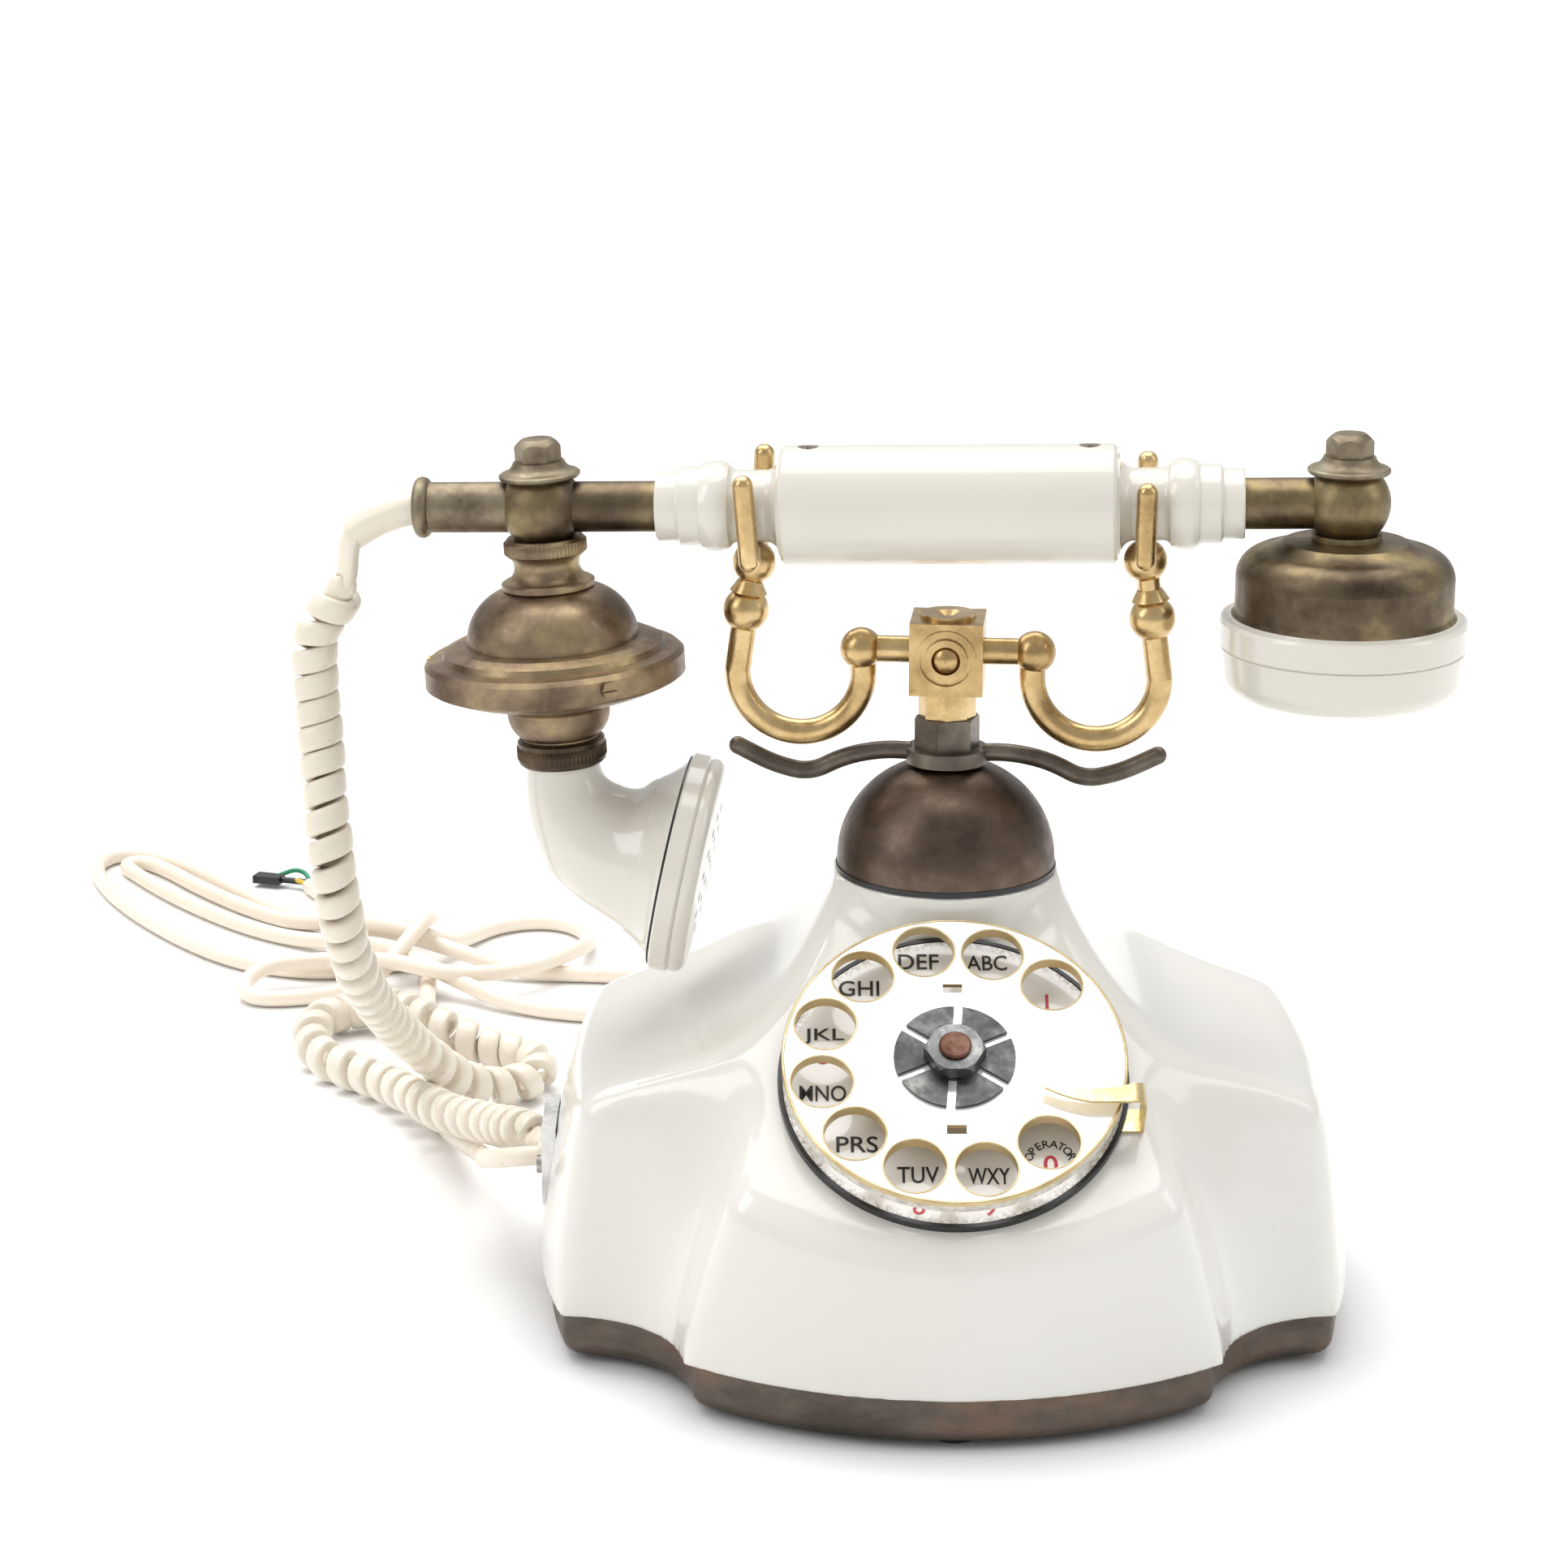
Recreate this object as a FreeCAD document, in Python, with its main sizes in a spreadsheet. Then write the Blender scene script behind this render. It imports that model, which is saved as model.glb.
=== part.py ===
"""Cradle telephone: white scalloped base with a bell-shaped cap, tilted rotary dial, brass fork
cradle, and a cylindrical handset with a hanging transmitter horn and receiver.

Frame: millimetres, +Z up, front towards -Y, origin on the floor under the centre of the base.
"""
import FreeCAD
import Part
import Sketcher
import math
import os

from FreeCAD import Placement, Rotation, Vector

doc = FreeCAD.newDocument("CradlePhone")

# ---------------------------------------------------------------- driving dimensions
SIZES = {
    # base and shell
    "foot_height": 1.6, "foot_radius": 5.5, "foot_circle": 82.0,
    "seam_height": 12.5, "front_reach": 94.4, "side_reach": 95.7, "ridge_x": 60.2, "ridge_y": 73.6,
    "wing_x": 89.5, "wing_y": 47.0, "wall": 2.6, "neck_radius": 26.0, "neck_top": 106.4,
    # bell cap and bracket stack
    "bell_radius": 25.4, "bell_rim": 107.6, "bell_top": 132.0, "post_radius": 5.0, "post_bore": 3.08,
    "bracket_thick": 3.4, "nut_flats": 13.4, "nut_height": 7.4, "arm_rod": 2.1,
    # dial
    "dial_y": -61.0, "dial_z": 80.5, "dial_tilt": 35.3, "wheel_radius": 38.3, "hole_radius": 6.8,
    "hole_circle": 30.0, "hole_step": 30.0, "first_hole": 42.0, "shaft_radius": 3.1, "hub_flats": 12.0,
    "cup_radius": 39.2, "plate_depth": 8.2,
    "gear_teeth": 60, "pinion_teeth": 12, "gear_module": 0.8,
    # cradle
    "cradle_yaw": -5.44, "cube_side": 16.9, "cube_z": 157.8, "inner_ball_x": 20.0, "outer_ball_x": 46.7,
    "inner_ball": 4.9, "outer_ball": 5.3, "ball_z": 158.3, "outer_ball_z": 166.9, "tube_radius": 3.0,
    "u_radius": 14.6, "u_low": 138.0, "plunger_radius": 3.0, "fork_rod": 2.35, "fork_half": 11.3,
    "fork_x": 44.8, "fork_top": 201.5,
    # handset
    "axis_z": 192.4, "handset_tilt": 1.43, "barrel_radius": 13.8, "groove_radius": 8.3,
    "groove_end": 50.2, "end_half": 67.0, "brass_radius": 5.85, "knuckle_left": -93.9, "knuckle_right": 90.1,
    "knuckle_radius": 9.7, "knuckle_half": 6.9, "finial_radius": 9.4, "acorn_flats": 9.4,
    "disc_radius": 30.3, "dome_radius": 20.0, "mouth_radius": 26.0, "horn_mouth_dip": 11.3,
    "receiver_radius": 24.8, "cap_radius": 28.2,
    # cords
    "curl_diameter": 11.4, "line_diameter": 4.8, "sleeve_radius": 3.9,
}

sheet = doc.addObject("Spreadsheet::Sheet", "Sizes")
for row, (alias, value) in enumerate(SIZES.items(), start=1):
    sheet.set("A%d" % row, alias)
    sheet.set("B%d" % row, str(value))
    sheet.setAlias("B%d" % row, alias)
doc.recompute()

NODES = {}


def number(value):
    """A plain number, or an expression in the sheet's aliases such as 'Sizes.wall * 2'."""
    return float(sheet.evalExpression(value)) if isinstance(value, str) else float(value)


def size(alias):
    return float(sheet.get(alias))


def node(label, item):
    """Name an object as one of the telephone's sub-parts."""
    item.Label = label
    NODES[label] = item
    return item


# ---------------------------------------------------------------- frames of the assemblies
X_AXIS, Y_AXIS, Z_AXIS = Vector(1, 0, 0), Vector(0, 1, 0), Vector(0, 0, 1)
WORLD = Placement()
DIAL = Placement(Vector(0, size("dial_y"), size("dial_z")), Rotation(X_AXIS, size("dial_tilt")))
CRADLE = Placement(Vector(0, 0, 0), Rotation(Z_AXIS, size("cradle_yaw")))
HANDSET = (Placement(Vector(0, 0, size("axis_z")), Rotation(Z_AXIS, size("cradle_yaw")))
           * Placement(Vector(), Rotation(Y_AXIS, -size("handset_tilt"))))
TRANSMITTER_LEAN = -2.3
TRANSMITTER = HANDSET * Placement(Vector(size("knuckle_left"), 0, 0), Rotation(Y_AXIS, TRANSMITTER_LEAN))
RECEIVER = HANDSET * Placement(Vector(size("knuckle_right"), 0, 0), Rotation(Y_AXIS, size("handset_tilt")))
ALONG_X = Placement(Vector(), Rotation(Y_AXIS, 90))


def shifted(frame, x=0.0, y=0.0, z=0.0, rotation=None):
    return frame * Placement(Vector(x, y, z), rotation or Rotation())


# ---------------------------------------------------------------- builders
def origin_plane(body, role):
    return [item for item in body.Origin.OriginFeatures if item.Role == role][0]


def new_sketch(body, name, role):
    sketch = body.newObject("Sketcher::SketchObject", name)
    sketch.AttachmentSupport = (origin_plane(body, role), [""])
    sketch.MapMode = "FlatFace"
    return sketch


def draw_outline(sketch, outline):
    """A closed outline of lines and arcs. Each point is (x, y) or (x, y, bulge): a bulge makes the
    edge that leaves the point an arc, its height as a share of half the chord, left of it when positive.
    Coordinates given as expressions are bound to the sheet."""
    count = len(outline)
    ends = [Vector(number(point[0]), number(point[1]), 0) for point in outline]
    flipped = []
    for i, point in enumerate(outline):
        start, end = ends[i], ends[(i + 1) % count]
        bulge = point[2] if len(point) > 2 else 0
        flipped.append(bulge > 0)
        if bulge:
            chord = end - start
            middle = (start + end) * 0.5 + Vector(-chord.y, chord.x, 0) * (bulge / 2)
            first, last = (end, start) if bulge > 0 else (start, end)
            sketch.addGeometry(Part.Arc(first, middle, last), False)
        else:
            sketch.addGeometry(Part.LineSegment(start, end), False)
    for i in range(count):
        j = (i + 1) % count
        sketch.addConstraint(
            Sketcher.Constraint("Coincident", i, 1 if flipped[i] else 2, j, 2 if flipped[j] else 1))
    for i, point in enumerate(outline):
        for kind, value in (("DistanceX", point[0]), ("DistanceY", point[1])):
            index = sketch.addConstraint(
                Sketcher.Constraint(kind, -1, 1, i, 2 if flipped[i] else 1, number(value)))
            if isinstance(value, str):
                sketch.setExpression("Constraints[%d]" % index, value)


def turned(label, outline, frame=WORLD, keep=True):
    """A piece turned about its own Z: the outline is (radius, height) points."""
    body = doc.addObject("PartDesign::Body", label)
    sketch = new_sketch(body, label + "_profile", "XZ_Plane")
    draw_outline(sketch, outline)
    turn = body.newObject("PartDesign::Revolution", label + "_turn")
    turn.Profile = sketch
    turn.ReferenceAxis = (sketch, ["V_Axis"])
    turn.Angle = 360
    body.Placement = frame
    return node(label, body) if keep else body


def cylinder(radius, height, frame=WORLD, label="cylinder"):
    item = doc.addObject("Part::Cylinder", label)
    for name, value in (("Radius", radius), ("Height", height)):
        if isinstance(value, str):
            item.setExpression(name, value)
        else:
            setattr(item, name, value)
    item.Placement = frame
    return item


def cone(low_radius, high_radius, height, frame=WORLD):
    item = doc.addObject("Part::Cone", "cone")
    item.Radius1, item.Radius2, item.Height = number(low_radius), number(high_radius), number(height)
    item.Placement = frame
    return item


def ball(radius, frame=WORLD):
    item = doc.addObject("Part::Sphere", "ball")
    if isinstance(radius, str):
        item.setExpression("Radius", radius)
    else:
        item.Radius = radius
    item.Placement = frame
    return item


def block(length, width, height, frame=WORLD):
    """A box centred on its frame in X and Y, standing on it in Z."""
    item = doc.addObject("Part::Box", "block")
    for name, value in (("Length", length), ("Width", width), ("Height", height)):
        if isinstance(value, str):
            item.setExpression(name, value)
        else:
            setattr(item, name, value)
    item.Placement = shifted(frame, -number(length) / 2, -number(width) / 2, 0)
    return item


def prism(sides, flats, height, frame=WORLD):
    """A regular prism with the given width across its flats."""
    item = doc.addObject("Part::Prism", "prism")
    item.Polygon = sides
    item.setExpression("Circumradius", "(%s) / 2 / cos(%.6f deg)" % (flats, 180.0 / sides))
    item.Height = number(height)
    item.Placement = frame
    return item


def cut(base, tool):
    item = doc.addObject("Part::Cut", "cut")
    item.Base, item.Tool = base, tool
    return item


def common(first, second):
    item = doc.addObject("Part::MultiCommon", "common")
    item.Shapes = [first, second]
    return item


def fuse(items):
    item = doc.addObject("Part::MultiFuse", "fuse")
    item.Shapes = items
    item.Refine = True
    return item


def group(items):
    item = doc.addObject("Part::Compound", "group")
    item.Links = items
    return item


def shaped(label, shape, frame=None):
    item = doc.addObject("Part::Feature", label)
    item.Shape = shape
    if frame:
        item.Placement = frame
    return node(label, item)


def arc_wire(points):
    """A closed wire through (x, y, z) points; a point given as ('arc', middle) bends the edge there."""
    edges = []
    stops = [(i, p) for i, p in enumerate(points) if not isinstance(p, tuple)]
    for (i, start), (j, end) in zip(stops, stops[1:] + stops[:1]):
        middle = points[(i + 1) % len(points)]
        if isinstance(middle, tuple):
            edges.append(Part.Arc(start, middle[1], end).toShape())
        else:
            edges.append(Part.LineSegment(start, end).toShape())
    return Part.Wire(edges)


# ---------------------------------------------------------------- shell
FRONT_PLANE_DROP = 10.0      # the shell's dial face lies this far under the finger wheel
SCOOP = [(97.0, 60.0), (77.0, 66.4), (56.0, 73.8), (38.5, 86.0), (26.0, 106.0)]
NOTCH_LEVELS = [             # height, ridge x, ridge end y, wing x, wing y
    (0.0, 62.4, 75.5, 92.0, 47.6),
    (54.0, 50.5, 66.0, 85.0, 45.2),
    (90.0, 35.0, 50.0, 80.0, 43.2),
]


def side_slab(inset):
    """The two bowed side walls, leaning in towards the top; each level is height, middle, corner."""
    wires = []
    half, reach, far = size("wing_y"), 62.0, 110.0
    for z, middle, corner in ((0.0, 96.6, 90.9), (36.0, 93.0, 87.2), (66.0, 86.3, 83.6), (110.0, 73.0, 70.0)):
        bow = middle - corner
        radius = (half ** 2 + bow ** 2) / (2 * bow)
        mid, end = middle - inset, middle - radius + math.sqrt(radius ** 2 - reach ** 2) - inset
        wires.append(arc_wire([
            Vector(end, -far, z), Vector(end, -reach, z), ("arc", Vector(mid, 0, z)), Vector(end, reach, z),
            Vector(end, far, z), Vector(-end, far, z), Vector(-end, reach, z), ("arc", Vector(-mid, 0, z)),
            Vector(-end, -reach, z), Vector(-end, -far, z)]))
    return Part.makeLoft(wires, True, False)


FRONT_REACH = 66.0        # half width of the front bow, just past the ridges
FAR = 110.0               # clear of the base on every side
FRONT_LEVELS = [(0.0, 95.0, 74.0, 60.6), (50.0, 92.4, 80.0, 50.5), (110.0, 88.0, 78.0, 50.0)]


def front_slab(inset):
    """The bowed front and back walls; each level is height, middle, ridge depth, ridge half width."""
    wires = []
    for z, middle, ridge_y, ridge_x in FRONT_LEVELS:
        bow = middle - ridge_y
        radius = (ridge_x ** 2 + bow ** 2) / (2 * bow)
        end_y = middle - radius + math.sqrt(radius ** 2 - FRONT_REACH ** 2)
        mid, end = middle - inset, end_y - inset
        wires.append(arc_wire([
            Vector(-FRONT_REACH, -end, z), ("arc", Vector(0, -mid, z)), Vector(FRONT_REACH, -end, z),
            Vector(FAR, -end, z), Vector(FAR, end, z),
            Vector(FRONT_REACH, end, z), ("arc", Vector(0, mid, z)), Vector(-FRONT_REACH, end, z),
            Vector(-FAR, end, z), Vector(-FAR, -end, z)]))
    return Part.makeLoft(wires, True, False)


def notch_cutter(inset):
    """The concave quarter between a front ridge and a wing, as a tapered elliptical column."""
    wires = []
    for z, ridge_x, ridge_y, wing_x, wing_y in NOTCH_LEVELS:
        centre = Vector(wing_x, -ridge_y, z)
        wide, deep = wing_x - ridge_x + inset, ridge_y - wing_y + inset
        ellipse = Part.Ellipse(centre + Vector(wide, 0, 0), centre + Vector(0, deep, 0), centre) \
            if wide > deep else Part.Ellipse(centre + Vector(0, deep, 0), centre + Vector(wide, 0, 0), centre)
        turn = math.pi / 2
        arc = Part.ArcOfEllipse(ellipse, turn, 2 * turn) if wide > deep else Part.ArcOfEllipse(ellipse, 0, turn)
        top, left = centre + Vector(0, deep, 0), centre + Vector(-wide, 0, 0)
        far = 140.0
        corners = [top, Vector(far, top.y, z), Vector(far, -far, z), Vector(left.x + 1.0, -far, z), left]
        edges = [arc.toShape()] + [Part.LineSegment(a, b).toShape() for a, b in zip(corners, corners[1:])]
        wires.append(Part.Wire(Part.__sortEdges__(edges)))
    return Part.makeLoft(wires, True, False)


def scoop_prism(inset):
    """Everything under the wings' swept-up tops, as one extrusion along Y."""
    points = [Vector(x, -120, z - inset) for x, z in SCOOP]
    mirrored = [Vector(-p.x, p.y, p.z) for p in points]
    wire = arc_wire([
        points[0], ("arc", points[1]), points[2], ("arc", points[3]), points[4],
        mirrored[4], ("arc", mirrored[3]), mirrored[2], ("arc", mirrored[1]), mirrored[0],
        Vector(-97, -120, -20), Vector(97, -120, -20)])
    return Part.Face(wire).extrude(Vector(0, 240, 0))


FOOT_PLACES = [(0, 0), (0, -size("foot_circle")), (0, size("foot_circle")), (-size("foot_circle"), 0),
               (size("foot_circle"), 0)]
SCREW_PLACES = [(-62.5, -48.5), (62.5, -48.5), (-62.5, 48.5), (62.5, 48.5)]
SCREW_STEM, GLAND_Z, CLAMP_SCREW_Y = 1.6, 35.5, -9.0
CORD_HOLES = (-3.0, 5.0)     # where the line cord and the curly cord leave the wall


def shell_form(inset):
    body = side_slab(inset).common(front_slab(inset)).common(scoop_prism(inset))
    cutter = notch_cutter(inset)
    for mirror_x in (False, True):
        for mirror_y in (False, True):
            tool = cutter
            if mirror_x:
                tool = tool.mirror(Vector(), X_AXIS)
            if mirror_y:
                tool = tool.mirror(Vector(), Y_AXIS)
            body = body.cut(tool)
    for tilt, side in ((size("dial_tilt"), 1), (-size("dial_tilt"), -1)):
        above = Part.makeBox(300, 200, 120, Vector(-150, -100, -FRONT_PLANE_DROP - inset))
        frame = Placement(Vector(0, side * size("dial_y"), size("dial_z")), Rotation(X_AXIS, tilt))
        above.Placement = frame
        body = body.cut(above)
    neck = Part.makeCylinder(size("neck_radius") - inset, size("neck_top") - inset - 60, Vector(0, 0, 60))
    return body.fuse(neck).removeSplitter()


def base_shell():
    outer = shell_form(0.0)
    low = size("seam_height")
    floor = Part.makeBox(260, 260, 60, Vector(-130, -130, low - 60))
    dial_pocket = Part.makeCylinder(size("cup_radius") + 0.4, 60, Vector(0, 0, -FRONT_PLANE_DROP))
    dial_pocket.Placement = DIAL
    dial_hole = Part.makeCylinder(36.4, 80, Vector(0, 0, -50))
    dial_hole.Placement = DIAL
    outer = outer.cut(floor).cut(dial_pocket)
    inner = shell_form(size("wall")).cut(Part.makeBox(260, 260, 59, Vector(-130, -130, low - 60)))
    seat = Part.makeCylinder(size("cup_radius") + 0.4 + size("wall"), 60,
                             Vector(0, 0, -FRONT_PLANE_DROP - size("wall")))
    seat.Placement = DIAL
    inner = inner.cut(seat)
    post_hole = Part.makeCylinder(size("post_radius") + 0.1, 40, Vector(0, 0, 90))
    shell = outer.cut(inner).cut(dial_hole).cut(post_hole)
    bosses = Part.makeCompound([Part.makeCylinder(4.5, 28, Vector(x, y, low)) for x, y in SCREW_PLACES])
    shell = shell.fuse(bosses.common(outer))
    for x, y in SCREW_PLACES:
        shell = shell.cut(Part.makeCylinder(SCREW_STEM, 20, Vector(x, y, low - 1)))
    for y in CORD_HOLES:
        shell = shell.cut(Part.makeCylinder(3.4, 20, Vector(-100, y, GLAND_Z), X_AXIS))
    shell = shell.cut(Part.makeCylinder(1.2, 20, Vector(-100, CLAMP_SCREW_Y, GLAND_Z), X_AXIS))
    return max(shell.Solids, key=lambda solid: solid.Volume)


shaped("base_shell", base_shell())


# ---------------------------------------------------------------- base plate, feet and screws
def plan_outline(z):
    """The scalloped outline of the base at the seam: two bowed ends, two bowed sides, four notches."""
    ridge_x, ridge_y, wing_x, wing_y = size("ridge_x"), size("ridge_y"), size("wing_x"), size("wing_y")
    slant = math.sqrt(0.5)
    notch = Vector(wing_x - (wing_x - ridge_x) * slant, ridge_y - (ridge_y - wing_y) * slant, z)
    points = []
    for sx, sy in ((1, -1), (1, 1), (-1, 1), (-1, -1)):
        ridge, wing = Vector(sx * ridge_x, sy * ridge_y, z), Vector(sx * wing_x, sy * wing_y, z)
        hollow = ("arc", Vector(sx * notch.x, sy * notch.y, z))
        points += [ridge, hollow, wing] if sx * sy < 0 else [wing, hollow, ridge]
        if sx * sy < 0:
            points.append(("arc", Vector(sx * size("side_reach"), 0, z)))
        else:
            points.append(("arc", Vector(0, sy * size("front_reach"), z)))
    return arc_wire(points)


PLATE_SET_BACK, PLATE_CORNER, PLATE_WALL = 2.2, 5.8, 2.2


def base_plate():
    """A shallow pan with rounded corners and a rolled lower edge, set back under the shell."""
    low, top, rolled = size("foot_height"), size("seam_height") - 0.1, 3.6
    cornered = -PLATE_SET_BACK - PLATE_CORNER
    face = Part.Face(plan_outline(low)).makeOffset2D(cornered).makeOffset2D(PLATE_CORNER)
    pan = face.extrude(Vector(0, 0, top - low))
    edges = [edge for edge in pan.Edges if edge.BoundBox.ZMax < low + 0.1]
    pan = pan.makeFillet(rolled, edges)
    hollow = Part.Face(plan_outline(low + 2.0)).makeOffset2D(cornered).makeOffset2D(PLATE_CORNER - PLATE_WALL)
    hollow = hollow.extrude(Vector(0, 0, 20))
    pan = pan.cut(hollow)
    for places, radius in ((FOOT_PLACES, 2.0), (SCREW_PLACES, SCREW_STEM)):
        for x, y in places:
            pan = pan.cut(Part.makeCylinder(radius, 10, Vector(x, y, low - 1)))
    return pan.Solids[0]


shaped("base_plate", base_plate())


def rubber_foot(x, y):
    pad = cylinder("Sizes.foot_radius", "Sizes.foot_height", Placement(Vector(x, y, 0), Rotation()))
    peg = cylinder(1.8, 4.0, Placement(Vector(x, y, 0), Rotation()))
    return fuse([pad, peg])


def pan_head(radius, head, stem, depth, frame):
    """A slotted round-headed screw: head above its frame's Z = 0, stem below."""
    screw = fuse([cylinder(radius, head, frame), cylinder(stem, depth, shifted(frame, z=-depth))])
    return cut(screw, block(radius * 3, 0.8, 1.0, shifted(frame, z=head - 0.7)))


node("rubber_feet", group([rubber_foot(x, y) for x, y in FOOT_PLACES]))
UPSIDE_DOWN = Rotation(X_AXIS, 180)
CLAMP_FRAME = shifted(WORLD, -94.9, CLAMP_SCREW_Y, GLAND_Z) * Placement(Vector(), Rotation(Y_AXIS, -90))
node("base_screws", group(
    [pan_head(2.6, 1.2, SCREW_STEM, 19.0, shifted(WORLD, x, y, size("foot_height"), UPSIDE_DOWN))
     for x, y in SCREW_PLACES] + [pan_head(2.1, 1.2, 1.2, 7.0, CLAMP_FRAME)]))

# ---------------------------------------------------------------- bell cap, post, bracket and nut
turned("dome_gasket", [(7.0, "Sizes.neck_top"), (25.7, "Sizes.neck_top"), (25.7, "Sizes.bell_rim"),
                       (7.0, "Sizes.bell_rim")])
turned("bell_dome", [("Sizes.bell_radius - 1.3", "Sizes.bell_rim"), ("Sizes.bell_radius", "Sizes.bell_rim"),
                     ("Sizes.bell_radius", "Sizes.bell_rim + 2", -0.36), (5.2, "Sizes.bell_top"),
                     (5.2, "Sizes.bell_top - 1.3", 0.36), ("Sizes.bell_radius - 1.3", "Sizes.bell_rim + 2")])
turned("post_tube", [("Sizes.post_bore", 99.0), (9.0, 99.0), (9.0, "Sizes.neck_top - Sizes.wall - 0.1"),
                     ("Sizes.post_radius", "Sizes.neck_top - Sizes.wall - 0.1"),
                     ("Sizes.post_radius", "Sizes.bell_top + Sizes.bracket_thick + Sizes.nut_height - 0.2"),
                     ("Sizes.post_bore", "Sizes.bell_top + Sizes.bracket_thick + Sizes.nut_height - 0.2")])


def route_edges(points):
    """Straight runs joined by tangent arcs; each radius is 0.45 of the shorter run over tan(half turn)."""
    edges, radii, start = [], [], points[0]
    for before, corner, after in zip(points, points[1:], points[2:]):
        back, ahead = before - corner, after - corner
        turn = math.pi - back.getAngle(ahead)
        reach = 0.45 * min(back.Length, ahead.Length)
        radii.append(reach / math.tan(turn / 2))
        enter = corner + back.normalize() * reach
        leave = corner + ahead.normalize() * reach
        bisector = (back + ahead).normalize()
        middle = corner + bisector * (reach * (1 / math.cos(turn / 2) - 1) / math.tan(turn / 2))
        edges += [Part.LineSegment(start, enter).toShape(), Part.Arc(enter, middle, leave).toShape()]
        start = leave
    edges.append(Part.LineSegment(start, points[-1]).toShape())
    return edges, radii


def swept(points, radius):
    """A round rod or cord along the rounded route through the points."""
    edges, radii = route_edges(points)
    path = Part.Wire(edges)
    ring = Part.Wire(Part.makeCircle(radius, points[0], points[1] - points[0]))
    rod = path.makePipeShell([ring], True, False)
    expected = math.pi * radius ** 2 * path.Length
    if abs(rod.Volume - expected) > 0.01 * expected:
        raise RuntimeError("a swept rod has the wrong volume")
    return rod, path.Length, radii


BRACKET_WAVE = [(5.0, 134.0), (14.6, 134.4), (23.4, 132.6), (32.0, 128.2), (40.3, 130.2), (48.7, 134.4)]


def wave_bracket():
    """Two wavy rods on a ring, hanging over the bell like cradle guards."""
    ring = Part.makeCylinder(9.5, size("bracket_thick"), Vector(0, 0, size("bell_top")))
    rods = []
    for side in (-1, 1):
        rod = swept([Vector(side * x, 0, z) for x, z in BRACKET_WAVE], size("arm_rod"))[0]
        tip = Vector(side * BRACKET_WAVE[-1][0], 0, BRACKET_WAVE[-1][1])
        rods += [rod, Part.makeSphere(size("arm_rod"), tip)]
    shape = ring.multiFuse(rods).removeSplitter()
    bore = Part.makeCylinder(size("post_radius") + 0.1, 30, Vector(0, 0, 120))
    under = Part.makeCylinder(14, 20, Vector(0, 0, size("bell_top") - 20))
    nut_seat = Part.makeCylinder(8.4, 10, Vector(0, 0, size("bell_top") + size("bracket_thick")))
    return shape.cut(bore).cut(under).cut(nut_seat)


shaped("wave_bracket", wave_bracket(), CRADLE)
NUT_TURN = Rotation(Z_AXIS, 12)
nut_low = size("bell_top") + size("bracket_thick")
nut_frame = shifted(WORLD, z=nut_low, rotation=NUT_TURN)
nut_body = common(prism(6, "Sizes.nut_flats", "Sizes.nut_height", nut_frame),
                  cone("Sizes.nut_flats * 1.9", "Sizes.nut_flats / 2", "Sizes.nut_height * 3.1",
                       shifted(nut_frame, z=-size("nut_height") * 2)))
node("post_nut", cut(nut_body, cylinder("Sizes.post_radius + 0.05", 20, shifted(nut_frame, z=-5))))

# ---------------------------------------------------------------- dial
turned("dial_cup", [(4.0, -9.2), (38.3, -9.2), (38.3, -8.0), ("Sizes.cup_radius", -8.0),
                    ("Sizes.cup_radius", -9.95), (36.1, -9.95), (36.1, -18.0), (34.6, -18.0),
                    (34.6, -10.6), (4.0, -10.6)], DIAL)
turned("number_plate", [(3.6, -9.15), (38.1, -9.15), (38.1, "-Sizes.plate_depth"), (3.6, "-Sizes.plate_depth")],
       DIAL)


def finger_wheel():
    """A pressed disc: ten finger holes with turned-down lips, two slots and a turned-down rim."""
    body = turned("finger_wheel", [
        (3.15, -1.2), ("Sizes.wheel_radius - 1", -1.2), ("Sizes.wheel_radius - 1", -3.2),
        ("Sizes.wheel_radius", -3.2), ("Sizes.wheel_radius", -0.6, -0.3), ("Sizes.wheel_radius - 0.6", 0),
        (3.15, 0)],
        DIAL)
    doc.recompute()
    places = [math.radians(size("first_hole") + size("hole_step") * i) for i in range(10)]
    centres = [Vector(size("hole_circle") * math.cos(a), size("hole_circle") * math.sin(a), 0) for a in places]
    lips = new_sketch(body, "finger_wheel_lips", "XY_Plane")
    holes = new_sketch(body, "finger_wheel_holes", "XY_Plane")
    for sketch, extra in ((lips, 0.8), (holes, 0.0)):
        for centre in centres:
            ring = sketch.addGeometry(Part.Circle(centre, Z_AXIS, size("hole_radius") + extra), False)
            for kind, value in (("DistanceX", centre.x), ("DistanceY", centre.y)):
                sketch.addConstraint(Sketcher.Constraint(kind, -1, 1, ring, 3, value))
            index = sketch.addConstraint(Sketcher.Constraint("Radius", ring, size("hole_radius") + extra))
            sketch.setExpression("Constraints[%d]" % index, "Sizes.hole_radius + %g" % extra)
    for y in (-19.0, 19.0):
        corners = [Vector(x, y + dy, 0) for x, dy in ((-2.2, -1.2), (2.2, -1.2), (2.2, 1.2), (-2.2, 1.2))]
        for a, b in zip(corners, corners[1:] + corners[:1]):
            holes.addGeometry(Part.LineSegment(a, b), False)
    pad = body.newObject("PartDesign::Pad", "finger_wheel_lip_pad")
    pad.Profile, pad.Length, pad.Reversed = lips, 2.6, True
    pocket = body.newObject("PartDesign::Pocket", "finger_wheel_pocket")
    pocket.Profile, pocket.Type, pocket.Midplane = holes, "ThroughAll", True
    return body


finger_wheel()


PETAL_TURN = 25.0


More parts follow.
